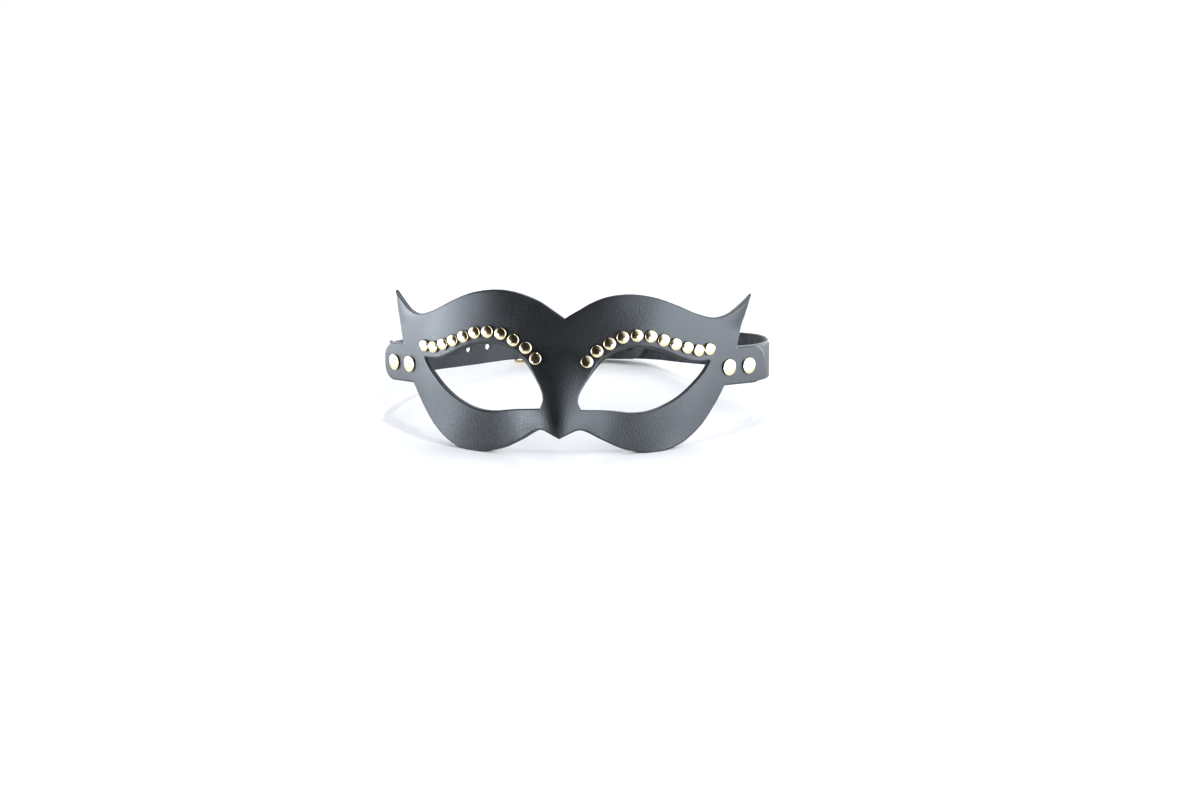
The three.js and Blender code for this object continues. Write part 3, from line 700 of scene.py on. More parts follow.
SHADER_GROUPS = {"grain": grain_group, "flesh": flesh_group, "edge": edge_group, "polish": polish_group}
made_groups = {}


def shader_group(tree, kind, inputs=None):
    """Places a shared shader group in a material, building it the first time"""
    if kind not in made_groups:
        made_groups[kind] = SHADER_GROUPS[kind]()
    return add_node(tree, "ShaderNodeGroup", inputs, node_tree=made_groups[kind]).outputs


def new_material(name):
    material = bpy.data.materials.new(name)
    material.use_nodes = True
    tree = material.node_tree
    shader = next(node for node in tree.nodes if node.type == "BSDF_PRINCIPLED")
    place = add_node(tree, "ShaderNodeTexCoord").outputs["Object"]
    return material, tree, shader, place


def opaque(colour, gain=1.0):
    return (*(min(1, channel * gain) for channel in colour), 1)


def dress(tree, shader, colour, rough, height, depth):
    """Links a shader to its colour, its roughness and a bump that is a depth in metres"""
    bump = add_node(tree, "ShaderNodeBump", {"Strength": 1.0, "Distance": depth, "Height": height})
    tree.links.new(colour, shader.inputs["Base Color"])
    tree.links.new(rough, shader.inputs["Roughness"])
    tree.links.new(bump.outputs["Normal"], shader.inputs["Normal"])


def leather_material(name, edge_colour, edge_span, grain_cell):
    """Dyed leather with its smooth face, suede back and cut edge told apart by the piece's own attributes"""
    colours = bpy.context.scene.mask_colours
    material, tree, shader, place = new_material(name)
    grain = shader_group(tree, "grain", {"Vector": place, "Cell Size": grain_cell})
    flesh = shader_group(tree, "flesh", {"Vector": place})
    edge = shader_group(tree, "edge", {"Edge Start": edge_span[0], "Edge End": edge_span[1]})
    fine = remap(tree, grain["Speckle"], 0.36, 0.66)
    face = blend_colours(tree, fine, opaque(colours.grain_side, 0.2), opaque(colours.grain_side, 1.8))
    half_rubbed = maths(tree, "MULTIPLY", edge["Rubbed"], 0.5)
    face = blend_colours(tree, half_rubbed, face, opaque(colours.grain_side, 0.5))
    stain = flesh["Stain"]
    back = blend_colours(tree, stain, opaque(colours.flesh_side, 0.2), opaque(colours.flesh_side, 1.6))
    colour = blend_colours(tree, edge["Inner"], face, back)
    # Painted shade: the cut walls of the openings are painted in the dark edge colour
    cut = blend_colours(tree, edge["Opening"], opaque(edge_colour), opaque(colours.burnished_edge_and_hole_shade))
    colour = blend_colours(tree, edge["Cut"], colour, cut)
    rough = maths(tree, "ADD", remap(tree, grain["Patches"], 0, 1, 0.33, 0.39),
                  remap(tree, grain["Speckle"], 0.3, 0.7, -0.03, 0.03))
    rough = maths(tree, "SUBTRACT", rough, maths(tree, "MULTIPLY", edge["Rubbed"], 0.08))
    rough = remap(tree, edge["Inner"], 0, 1, rough, 0.85)
    rough = remap(tree, edge["Cut"], 0, 1, rough, 0.9)
    height = remap(tree, edge["Inner"], 0, 1, grain["Height"], flesh["Height"])
    dress(tree, shader, colour, rough, height, LEATHER_BUMP)
    shader.inputs["IOR"].default_value = 1.66
    shader.inputs["Specular Tint"].default_value = (0.88, 0.94, 1, 1)
    return material


def brass_material(name, roughness):
    colours = bpy.context.scene.mask_colours
    material, tree, shader, place = new_material(name)
    polish = shader_group(tree, "polish", {"Vector": place})
    # Painted shade: the foot of each cap is blended to the dark foot colour, as a contact shadow
    painted_foot_shade = point_mask(tree, "painted_foot_shade")
    colour = blend_colours(tree, polish["Dull"], opaque(colours.brass), opaque(colours.brass, 0.93))
    colour = blend_colours(tree, painted_foot_shade, colour, opaque(colours.painted_foot_shade))
    rough = remap(tree, polish["Dull"], 0, 1, roughness, roughness + 0.07)
    rough = maths(tree, "ADD", rough, maths(tree, "MULTIPLY", painted_foot_shade, 0.3))
    dress(tree, shader, colour, rough, polish["Height"], BRASS_BUMP)
    shader.inputs["Metallic"].default_value = 1
    return material


def shared_material(name, build, *values):
    return bpy.data.materials.get(name) or build(name, *values)


def mask_leather():
    edge = bpy.context.scene.mask_colours.burnished_edge_and_hole_shade
    return shared_material("dyed_mask_leather", leather_material, edge, (0.30, 0.86), 0.0008)


def strap_leather():
    edge = bpy.context.scene.mask_colours.raw_edge
    return shared_material("dyed_strap_leather", leather_material, edge, (0.36, 0.84), 0.0009)


def stud_brass():
    return shared_material("polished_stud_brass", brass_material, 0.13)


def buckle_brass():
    return shared_material("polished_buckle_brass", brass_material, 0.2)


# Geometry node trees

def geometry_tree(name, inputs):
    tree, given, result = group_tree(
        "GeometryNodeTree", name, [("Geometry", "NodeSocketGeometry"), *inputs],
        [("Geometry", "NodeSocketGeometry")])
    tree.is_modifier = True
    return tree, given.outputs, result


def end_tree(tree, geometry, finish, result):
    """Every tree ends in real geometry with its material set"""
    real = add_node(tree, "GeometryNodeRealizeInstances", {"Geometry": geometry}).outputs[0]
    dressed = add_node(tree, "GeometryNodeSetMaterial", {"Geometry": real, "Material": finish}).outputs[0]
    tree.links.new(dressed, result.inputs[0])
    return tree


def run_tree(piece, tree, values):
    """Runs a geometry tree on a piece and keeps its result as a plain mesh"""
    modifier = piece.modifiers.new(tree.name, "NODES")
    modifier.node_group = tree
    for item in tree.interface.items_tree:
        if item.in_out == "INPUT" and item.name in values:
            modifier[item.identifier] = values[item.name]
    bpy.context.view_layer.update()
    depsgraph = bpy.context.evaluated_depsgraph_get()
    mesh = bpy.data.meshes.new_from_object(piece.evaluated_get(depsgraph), depsgraph=depsgraph)
    piece.modifiers.clear()
    old = piece.data
    piece.data = mesh
    bpy.data.meshes.remove(old)
    if not mesh.polygons:
        raise RuntimeError(f"{piece.name}: the tree made no faces")
    return piece


def fastener_tree():
    """Sets a turned cap on each point along its axis, tipped a little as a hand setter leaves it"""
    tree, given, result = geometry_tree("Set fasteners", [
        ("Cap", "NodeSocketObject"), ("Tip", "NodeSocketFloat", 0.02), ("Seed", "NodeSocketInt", 7),
        ("Finish", "NodeSocketMaterial")])
    cap = add_node(tree, "GeometryNodeObjectInfo", {"Object": given["Cap"]}).outputs["Geometry"]
    vector = {"data_type": "FLOAT_VECTOR"}
    axis = add_node(tree, "GeometryNodeInputNamedAttribute", {"Name": "axis"}, **vector).outputs[0]
    least = maths(tree, "MULTIPLY", given["Tip"], -1)
    span = {"Min": least, "Max": given["Tip"], "Seed": given["Seed"]}
    tip = add_node(tree, "FunctionNodeRandomValue", span, **vector).outputs[0]
    tipped = vector_maths(tree, "ADD", axis, tip)
    turn = add_node(tree, "FunctionNodeAlignRotationToVector", {"Vector": tipped}, axis="Z").outputs[0]
    placed = add_node(tree, "GeometryNodeInstanceOnPoints",
                      {"Points": given["Geometry"], "Instance": cap, "Rotation": turn}).outputs[0]
    return end_tree(tree, placed, given["Finish"], result)


def wrap_tree():
    """Bends flat leather along a line in plan: x runs along it, y is the height, and z is the distance to the
    right of the line"""
    tree, given, result = geometry_tree("Wrap along line", [
        ("Line", "NodeSocketObject"), ("Tilt", "NodeSocketFloat", 0.016),
        ("Half Width", "NodeSocketFloat", 0.1),
        ("Back Start", "NodeSocketFloat", 0.042), ("Back End", "NodeSocketFloat", 0.085),
        ("Back Rise", "NodeSocketFloat", 0.0013), ("Back Tilt", "NodeSocketFloat", 0.024),
        ("Lift", "NodeSocketFloat", 0.0015), ("Lift Place", "NodeSocketFloat", -0.04),
        ("Lift Spread", "NodeSocketFloat", 0.022), ("Finish", "NodeSocketMaterial")])
    line = add_node(tree, "GeometryNodeObjectInfo", {"Object": given["Line"]}).outputs["Geometry"]
    flat = parts(tree, add_node(tree, "GeometryNodeInputPosition").outputs[0])
    sample = add_node(tree, "GeometryNodeSampleCurve", {"Curves": line, "Length": flat["X"]}, mode="LENGTH",
                      use_all_curves=True).outputs
    along = parts(tree, sample["Tangent"])
    backward = maths(tree, "MULTIPLY", along["X"], -1)
    right = add_node(tree, "ShaderNodeCombineXYZ", {"X": along["Y"], "Y": backward}).outputs[0]
    moved = vector_maths(tree, "ADD", sample["Position"], scaled(tree, right, flat["Z"]))
    plan = parts(tree, moved)
    half = given["Half Width"]
    share = remap(tree, plan["X"], maths(tree, "MULTIPLY", half, -1), half, -1, 1)
    tilt = maths(tree, "SUBTRACT", 1, maths(tree, "MULTIPLY", share, given["Tilt"]))
    height = maths(tree, "MULTIPLY", flat["Y"], tilt)
    behind = remap(tree, plan["Y"], given["Back Start"], given["Back End"], soft=True)
    rise = maths(tree, "ADD", given["Back Rise"], maths(tree, "MULTIPLY", plan["X"], given["Back Tilt"]))
    away = maths(tree, "SUBTRACT", plan["X"], given["Lift Place"])
    away = maths(tree, "DIVIDE", away, given["Lift Spread"])
    bell = maths(tree, "EXPONENT", maths(tree, "MULTIPLY", maths(tree, "MULTIPLY", away, away), -1))
    rise = maths(tree, "ADD", rise, maths(tree, "MULTIPLY", bell, given["Lift"]))
    height = maths(tree, "ADD", height, maths(tree, "MULTIPLY", behind, rise))
    place = add_node(tree, "ShaderNodeCombineXYZ", {"X": plan["X"], "Y": plan["Y"], "Z": height}).outputs[0]
    moves = {"Geometry": given["Geometry"], "Position": place}
    bent = add_node(tree, "GeometryNodeSetPosition", moves).outputs[0]
    return end_tree(tree, bent, given["Finish"], result)


# Turned metal

def turned_cap(name, profile, sides, foot):
    """Closed turned piece in metres on the z axis, from a profile of (radius, height) in mm. Painted shade
    covers all of it that lies below the foot's height in mm, its inner cap too"""
    angles = 2 * math.pi * np.arange(sides) / sides
    points, faces = [], []
    for radius, height in profile:
        if radius == 0:
            points.append([(0, 0, height)])
        else:
            points.append([(radius * math.cos(a), radius * math.sin(a), height) for a in angles])
    start = np.cumsum([0] + [len(ring) for ring in points])
    for i in range(len(points) - 1):
        low, high = start[i], start[i + 1]
        for k in range(sides):
            after = (k + 1) % sides
            if len(points[i]) == 1:
                faces.append((low, high + after, high + k))
            elif len(points[i + 1]) == 1:
                faces.append((low + k, low + after, high))
            else:
                faces.append((low + k, low + after, high + after, high + k))
    points = np.vstack(points)
    # Share of painted shade at each point: full below the foot's height
    painted_foot_shade = 1 - smooth(points[:, 2], foot - 0.15, foot + 0.15)
    return make_mesh(name, points * MM, [tuple(int(i) for i in face) for face in faces], {"painted_foot_shade": painted_foot_shade})


def cap_line(radius, rise, base, steps):
    """Profile of the low round cap inside, from its crown to its rim"""
    ball = (radius * radius + rise * rise) / (2 * rise)
    angles = np.linspace(0, math.asin(radius / ball), steps)
    return [(ball * math.sin(a), base - (ball * math.cos(a) - ball + rise)) for a in angles]


def pressed_cap(radius, top, crown, shoulder):
    """Profile of a pressed cap with a crown that is part of a ball and a round shoulder, from its wall up"""
    slope = math.asin((radius - shoulder) / (crown - shoulder))
    turn = np.linspace(math.pi / 2, slope, 8)
    middle = (crown - shoulder) * math.cos(slope) + top - crown
    line = [(radius - shoulder + shoulder * math.sin(a), middle + shoulder * math.cos(a)) for a in turn]
    inner = slope * np.array((0.75, 0.5, 0.25))
    line += [(crown * math.sin(a), top - crown + crown * math.cos(a)) for a in inner]
    return [*line, (0, top)]


def stud_profile(radius, rise, leather):
    """Capped head with a turned-in rim, a thin post, and its clenched end inside"""
    inside = -leather - GAP
    return [(0, inside - 0.6), (1.3, inside - 0.45), (1.9, inside), (0.9, inside), (0.9, 0.12),
            (radius * 0.94, 0.12), (radius * 0.985, 0.18),
            *pressed_cap(radius, rise + GAP, STUD_CROWN * radius, STUD_SHOULDER * radius)]


def rivet_profile(radius, rise, leather):
    """Two low caps on a post, the outer one nearly flat"""
    inside = -leather - GAP
    under = cap_line(radius, rise * 0.8, inside - 0.15, 6)
    return [*under, (radius * 0.95, inside - 0.02), (POST_RADIUS, inside), (POST_RADIUS, 0.15),
            (radius * 0.93, 0.15), (radius * 0.985, 0.22), (radius, 0.35),
            *pressed_cap(radius, rise + GAP, RIVET_CROWN * radius, RIVET_SHOULDER * radius)]


def set_fasteners(name, points, axes, profile, foot, tip, material):
    """Piece of turned fasteners on points of the upright band, in mm, with their axes"""
    cap = turned_cap(name + "_cap", profile, CAP_SIDES, foot)
    places = make_mesh(name, to_frame(points), [], {"axis": lean_back(axes)})
    tree = bpy.data.node_groups.get("Set fasteners") or fastener_tree()
    run_tree(places, tree, {"Cap": cap, "Tip": tip, "Seed": 7, "Finish": material})
    bpy.data.objects.remove(cap)
    return places


# The strap loop

def behind_tab(u):
    """Middle of the strap behind the right tab, in plan"""
    inward = in_mm(sizes().mask_thickness) + GAP + in_mm(sizes().strap_thickness) / 2
    x, y, turn = plan_at(np.asarray(u, float))
    return np.stack([x - inward * np.sin(turn), y + inward * np.cos(turn)], axis=-1)


class StrapLoop:
    """Middle line of the strap round the head, by station in mm from its left end"""

    def __init__(self):
        right_end = behind_tab(TAB_LINE)
        points = np.vstack([right_end * (-1, 1), LOOP_BACK, right_end[::-1]])
        self.line = catmull_rom(points, 60, centripetal=True)
        self.run = run_along(self.line)
        self.length = self.run[-1]
        self.strap = in_mm(sizes().strap_thickness)
        bar = BAR_THICKNESS / 2 + BAR_PLAY + GAP
        self.bar_clear = bar
        self.wrap = bar + self.strap / 2
        self.fold_layer = -(self.strap + LAYER_SPACE)
        self.over_rivets = self.strap + in_mm(sizes().rivet_rise) + 2 * GAP
        self.over_pivot = self.wrap + self.strap + GAP
        self.far_bar_offset = self.strap / 2 + GAP + BAR_THICKNESS / 2

    def at(self, station):
        return np.stack([np.interp(station, self.run, self.line[:, i]) for i in range(2)], axis=-1)

    def outward(self, station):
        station = np.clip(station, 0.2, self.length - 0.2)
        tangent = unit(self.at(station + 0.2) - self.at(station - 0.2))
        return np.stack([-tangent[..., 1], tangent[..., 0]], axis=-1)

    def beside(self, station, offset):
        station = np.asarray(station, float)
        return self.at(station) + self.outward(station) * np.asarray(offset, float)[..., None]

    def billet_offset(self, station):
        through = smooth(station, FAR_BAR + 0.5, PIVOT_BAR - 1)
        settled = smooth(station, PIVOT_BAR + 3, PIVOT_BAR + 18)
        down = smooth(station, STRAP_RIVETS[1] + in_mm(sizes().strap_rivet_radius), BILLET_END - 2)
        return (self.over_pivot * through + (self.over_rivets - self.over_pivot) * settled
                + (self.strap + GAP - self.over_rivets) * down)

    def billet_line(self):
        station = np.linspace(0, BILLET_END + 1, 480)
        return station, self.beside(station, self.billet_offset(station))

    def buckle_line(self):
        """The buckle strap's line from the right tab to the pivot bar, round it and back inside the loop,
        with a mark of the loop's station for each point: minus for the part that is folded back"""
        out = np.linspace(self.length, PIVOT_BAR, 440)
        offset = self.wrap * (1 - smooth(out, PIVOT_BAR + 1, PIVOT_BAR + 16))
        angle = np.linspace(0, math.pi, 40)[1:-1]
        round_bar = self.beside(PIVOT_BAR - self.wrap * np.sin(angle), self.wrap * np.cos(angle))
        back = np.linspace(PIVOT_BAR, FOLD_END + 1, 140)
        share = smooth(back, PIVOT_BAR, PIVOT_BAR + 10)
        under = self.beside(back, -self.wrap * (1 - share) + self.fold_layer * share)
        line = np.vstack([self.beside(out, offset), round_bar, under])
        mark = np.concatenate([out, np.full(len(angle), PIVOT_BAR), -back])
        return mark, line


def loop_height(v, plan):
    """Height of the strap at a place in plan: it follows both tabs, and its back stands higher at the right
    and at the buckle"""
    x, y = plan[..., 0], plan[..., 1]
    lift = BUCKLE_LIFT * np.exp(-((x - LIFT_PLACE) / LIFT_SPREAD) ** 2)
    back = smooth(y, *RISE_REACH) * (BACK_RISE + BACK_TILT * x + lift)
    return v * (1 - HAND_BENT * np.clip(x / plan_at(float(LEFT_TAB_END))[0], -1, 1)) + back


def strap_outline(end, tip):
    """Flat strap from its square end at 0 to a round end"""
    low, high = BAND_LOW, BAND_LOW + in_mm(sizes().strap_width)
    middle, half = (low + high) / 2, (high - low) / 2
    top = even_points([(end - tip, high), (0, high)], 1.2)
    bottom = even_points([(0, low), (end - tip, low)], 1.2)
    side = even_points([(0, high), (0, low)], 1.2)
    return closed(np.vstack([bottom, arc((end - tip, middle), (tip, half), -90, 90, 40), top, side]))


def hole_loop(u, v, radius, count=28):
    return arc((u, v), radius, 0, 360 * (1 - 1 / count), count)


def post_hole(u, v):
    return hole_loop(u, v, POST_RADIUS + GAP, POST_HOLE_SIDES)


def slot_loop(start, end, radius):
    return np.vstack([arc((start, HOLE_ROW), radius, 90, 270, 14), arc((end, HOLE_ROW), radius, -90, 90, 14)])


def wrapped_strap(name, line, end, tip, holes, plain_holes):
    """Cuts a flat strap and bends it along its line in plan, with its smooth face on the line's right. On the
    holed strap, whose line runs from the left tab, that is the side towards the head"""
    thickness = in_mm(sizes().strap_thickness)
    loops = [strap_outline(end, tip), *holes]
    points, faces, distances = flat_piece(loops, thickness, STRAP_ROUNDING, STRAP_PITCH, plain_holes)
    attributes = leather_attributes(points, distances, thickness)
    points[:, 2] += thickness / 2
    piece = make_mesh(name, points * MM, faces, attributes)
    curve = bpy.data.curves.new(name + "_line", "CURVE")
    curve.dimensions = "3D"
    spline = curve.splines.new("POLY")
    spline.points.add(len(line) - 1)
    corners = np.column_stack([line * MM, np.zeros(len(line)), np.ones(len(line))])
    spline.points.foreach_set("co", corners.ravel())
    guide = bpy.data.objects.new(name + "_line", curve)
    bpy.context.scene.collection.objects.link(guide)
    tree = bpy.data.node_groups.get("Wrap along line") or wrap_tree()
    values = {"Line": guide, "Tilt": HAND_BENT, "Half Width": float(plan_at(float(LEFT_TAB_END))[0]) * MM,
              "Back Start": RISE_REACH[0] * MM, "Back End": RISE_REACH[1] * MM, "Back Rise": BACK_RISE * MM,
              "Back Tilt": BACK_TILT, "Lift": BUCKLE_LIFT * MM, "Lift Place": LIFT_PLACE * MM,
              "Lift Spread": LIFT_SPREAD * MM, "Finish": strap_leather()}
    run_tree(piece, tree, values)
    bpy.data.objects.remove(guide)
    place_in_frame(piece)
    return piece


def place_in_frame(piece):
    """Leans a piece that was made on the upright band, in metres, and sets it in the frame"""
    turn = Matrix.Rotation(-BAND_LEAN, 4, "X")
    piece.data.transform(Matrix.Translation(Vector(BAND_ORIGIN) * MM) @ turn)


def nearest_run(line, run, point):
    return float(run[np.argmin(np.linalg.norm(line - point, axis=1))])


# Outline of the mask

def half_outline(tab_end):
    """Right half of the mask's outline, from the notch between the brows to the tip of the nose"""
    top = BAND_LOW + in_mm(sizes().strap_width)
    corner = tab_end - TAB_CORNER
    pitch = 1.0
    return np.vstack([
        even_points(catmull_rom(BROW, 12), pitch),
        even_points(catmull_rom(HORN_SIDE, 12), pitch),
        even_points([(HORN_SIDE[-1][0], top), (corner, top)], pitch),
        arc((corner, top - TAB_CORNER), TAB_CORNER, 90, 0, 14),
        arc((corner, BAND_LOW + TAB_CORNER), TAB_CORNER, 0, -90, 14),
        even_points([(corner, BAND_LOW), (CHEEK[0][0], BAND_LOW)], pitch),
        even_points(catmull_rom(CHEEK, 12), pitch),
    ])


def mask_outline():
    left = (half_outline(LEFT_TAB_END) * (-1, 1))[::-1]
    outline = closed(np.vstack([half_outline(RIGHT_TAB_END), left]))
    near = np.exp(-0.5 * (outline[:, 0] / NOTCH_REACH) ** 2) * smooth(outline[:, 1], EYE_TOP, BROW[0][1])
    outline[:, 0] += NOTCH_SHIFT * near
    return outline


def eye_outline(side):
    upper = even_points(catmull_rom(EYE_BROW, 12), 1.0)
    lower = even_points(catmull_rom(EYE_CHEEK, 12), 1.0)
    return closed(np.vstack([upper, lower]) * (side, 1))


def eye_roll(points):
    """Fall of the outer face where it is rolled in along the upper and nose sides of the eyes"""
    u, v = np.abs(points[:, 0]), points[:, 1]
    brow = even_points(catmull_rom(EYE_BROW, 12), 0.5)
    away = edge_distance(np.column_stack([u, v]), [brow])
    plain = in_mm(sizes().outer_rounding)
    share = smooth(-u, -ROLL_FADE[0], -ROLL_FADE[1]) * smooth(v, *ROLL_LOW)
    return rounded_fall(away, plain + (EYE_ROLL - plain) * share)


def stud_row(side):
    """The studs stand a little closer together towards the tab than towards the nose"""
    line = catmull_rom(STUD_ROW, 60)
    run = run_along(line)
    share = np.linspace(0, 1, STUDS_PER_SIDE)
    at = run[-1] * share - STUD_DRIFT * np.sin(math.pi * share)
    return np.stack([side * np.interp(at, run, line[:, 0]), np.interp(at, run, line[:, 1])], axis=1)


def all_studs():
    return np.vstack([stud_row(-1), stud_row(1)])


def tab_rivets():
    return np.array([(side * u, TAB_RIVET_HEIGHT) for side in (-1, 1) for u in TAB_RIVETS])


class MASK_OT_stage(bpy.types.Operator):
    """Makes the camera, the pale floor and the soft studio light"""

    bl_idname = "mask.stage"
    bl_label = "Camera, floor and light"

    def execute(self, context):
        stage = context.scene.mask_stage
        make_camera(stage.lens)
        make_floor(stage)
        light_room(stage)
        context.scene.view_settings.view_transform = "Standard"
        return {"FINISHED"}


def make_camera(lens):
    azimuth, elevation, roll = (math.radians(a) for a in (CAMERA_AZIMUTH, CAMERA_ELEVATION, CAMERA_ROLL))
    back = Vector((math.sin(azimuth) * math.cos(elevation), -math.cos(azimuth) * math.cos(elevation),
                   math.sin(elevation)))
    level = Vector((math.cos(azimuth), math.sin(azimuth), 0))
    right = math.cos(roll) * level + math.sin(roll) * back.cross(level)
    data = bpy.data.cameras.new("camera")
    data.lens = lens
    data.sensor_width = 36
    data.clip_start = 0.01
    camera = bpy.data.objects.new("camera", data)
    turn = Matrix((right, back.cross(right), back)).transposed().to_4x4()
    camera.matrix_world = Matrix.Translation(Vector(CAMERA_PLACE) * MM) @ turn
    bpy.context.scene.collection.objects.link(camera)
    bpy.context.scene.camera = camera


def make_floor(stage):
    side, front, back = stage.floor_side, -stage.floor_front, stage.floor_back
    corners = [(-side, front, 0), (side, front, 0), (side, back, 0), (-side, back, 0)]
    floor = make_mesh("floor", corners, [(0, 1, 2, 3)])
    material, tree, shader, place = new_material("table_top")
    patches = remap(tree, noise(tree, place, 6.0, 2.0), 0.3, 0.7)
    colour = blend_colours(tree, patches, opaque(stage.floor_colour, 0.985), opaque(stage.floor_colour))
    tree.links.new(colour, shader.inputs["Base Color"])
    shader.inputs["Roughness"].default_value = 0.9
    shader.inputs["Specular IOR Level"].default_value = 0.1
    floor.data.materials.append(material)


def wall_light(tree, azimuth, height, wall, brightness):
    """Light of one wall of the room: bright at the floor, fading upwards and towards its sides"""
    middle, half_width, soft, fade = (math.radians(angle) for angle in wall)
    away = maths(tree, "SUBTRACT", azimuth, middle)
    away = maths(tree, "ABSOLUTE", maths(tree, "WRAP", away, math.pi, -math.pi))
    across = remap(tree, away, half_width + soft, half_width, soft=True)
    up = maths(tree, "EXPONENT", maths(tree, "DIVIDE", height, -fade))
    return maths(tree, "MULTIPLY", maths(tree, "MULTIPLY", across, up), brightness)


def skylight(tree, direction, light, brightness):
    """Round light high in the room"""
    lean, azimuth, ends, full = (math.radians(angle) for angle in light)
    middle = (math.sin(lean) * math.sin(azimuth), -math.sin(lean) * math.cos(azimuth), math.cos(lean))
    towards = vector_maths(tree, "DOT_PRODUCT", direction, middle)
    return remap(tree, towards, math.cos(ends), math.cos(full), 0, brightness, soft=True)


def light_room(stage):
    """White walls at the sides and behind the mask, two skylights and a lamp; the camera's side stays dim"""
    world = bpy.data.worlds.new("studio")
    world.use_nodes = True
    tree = world.node_tree
    shining = next(node for node in tree.nodes if node.type == "BACKGROUND")
    output = next(node for node in tree.nodes if node.type == "OUTPUT_WORLD")
    direction = add_node(tree, "ShaderNodeTexCoord").outputs["Generated"]
    x, y, z = parts(tree, direction)
    azimuth = maths(tree, "ARCTAN2", x, maths(tree, "MULTIPLY", y, -1))
    height = maths(tree, "MAXIMUM", maths(tree, "ARCSINE", z), 0)
    walls = ((LEFT_WALL, stage.left_wall), (RIGHT_WALL, stage.right_wall), (BACK_WALL, stage.back_wall),
             (FRONT_LEFT_STRIP, stage.front_strips), (FRONT_RIGHT_STRIP, stage.front_strips))
    skylights = ((SIDE_SKYLIGHT, stage.side_skylight), (BACK_SKYLIGHT, stage.back_skylight))
    lights = [wall_light(tree, azimuth, height, wall, bright) for wall, bright in walls]
    lights += [skylight(tree, direction, light, bright) for light, bright in skylights]
    strength = lights[0]
    for light in lights[1:]:
        strength = maths(tree, "ADD", strength, light)
    tree.links.new(strength, shining.inputs["Strength"])
    shining.inputs["Color"].default_value = (*stage.light_colour, 1)
    dimness = {"Color": (*stage.dim_colour, 1), "Strength": stage.dim_light}
    dim = add_node(tree, "ShaderNodeBackground", dimness)
    room = add_node(tree, "ShaderNodeAddShader", {0: shining.outputs[0], 1: dim.outputs[0]}).outputs[0]
    seen = add_node(tree, "ShaderNodeBackground", {"Color": (1, 1, 1, 1), "Strength": 1.0}).outputs[0]
    camera_ray = add_node(tree, "ShaderNodeLightPath").outputs["Is Camera Ray"]
    mixed = add_node(tree, "ShaderNodeMixShader", {0: camera_ray, 1: room, 2: seen}).outputs[0]
    tree.links.new(mixed, output.inputs["Surface"])
    bpy.context.scene.world = world
    place, size = LAMP
    make_light("lamp", place, (size, size), (0, 0, -1), stage.lamp, stage.light_colour)


def make_light(name, place, size, facing, brightness, colour):
    """Flat light box that shines one way; its power follows from its brightness and its size"""
    light = bpy.data.lights.new(name, "AREA")
    light.shape = "RECTANGLE"
    light.size, light.size_y = size
    light.energy = math.pi * size[0] * size[1] * brightness
    light.color = [channel / max(colour) for channel in colour]
    light.energy *= max(colour)
    holder = bpy.data.objects.new(name, light)
    holder.location = place
    holder.rotation_euler = Vector(facing).to_track_quat("-Z", "Y").to_euler()
    bpy.context.scene.collection.objects.link(holder)


class MASK_OT_mask_front(bpy.types.Operator):
    """Cuts the mask from leather and moulds it over the face"""

    bl_idname = "mask.mask_front"
    bl_label = "Moulded mask"

    def execute(self, context):
        size = sizes()
        thickness = in_mm(size.mask_thickness)
        rounding = (in_mm(size.outer_rounding), in_mm(size.inner_rounding))
        loops = [mask_outline(), eye_outline(-1), eye_outline(1)]
        posts = [hole_loop(u, v, POST_RADIUS - 0.1, 10) for u, v in all_studs()]
        posts += [post_hole(u, v) for u, v in tab_rivets()]
        points, faces, distances = flat_piece(
            loops, thickness, rounding, MASK_PITCH, posts, list(MASK_STEPS), eye_roll)
        attributes = leather_attributes(points, distances, thickness)
        piece = make_mesh("moulded_mask", to_frame(on_mask(*points.T)), faces, attributes)
        vertices = piece.data.vertices
        places = np.zeros(len(vertices) * 3)
        vertices.foreach_get("co", places)
        places[2::3] = np.maximum(places[2::3], 0)
        vertices.foreach_set("co", places)
        finish_piece(piece, mask_leather(), "mask_leather", "mask_front")
        return {"FINISHED"}


class MASK_OT_brow_studs(bpy.types.Operator):
    """Sets the row of domed studs over each eye"""

    bl_idname = "mask.brow_studs"
    bl_label = "Brow studs"

    def execute(self, context):
        size = sizes()
        u, v = all_studs().T
        profile = stud_profile(in_mm(size.stud_radius), in_mm(size.stud_rise), in_mm(size.mask_thickness))
        points, axes = face_point(u, v), face_normal(u, v)
        piece = set_fasteners("brow_studs", points, axes, profile, STUD_FOOT, STUD_TIP, stud_brass())
        finish_piece(piece, stud_brass(), "brass", *nodes_named("brow_stud"))
        return {"FINISHED"}


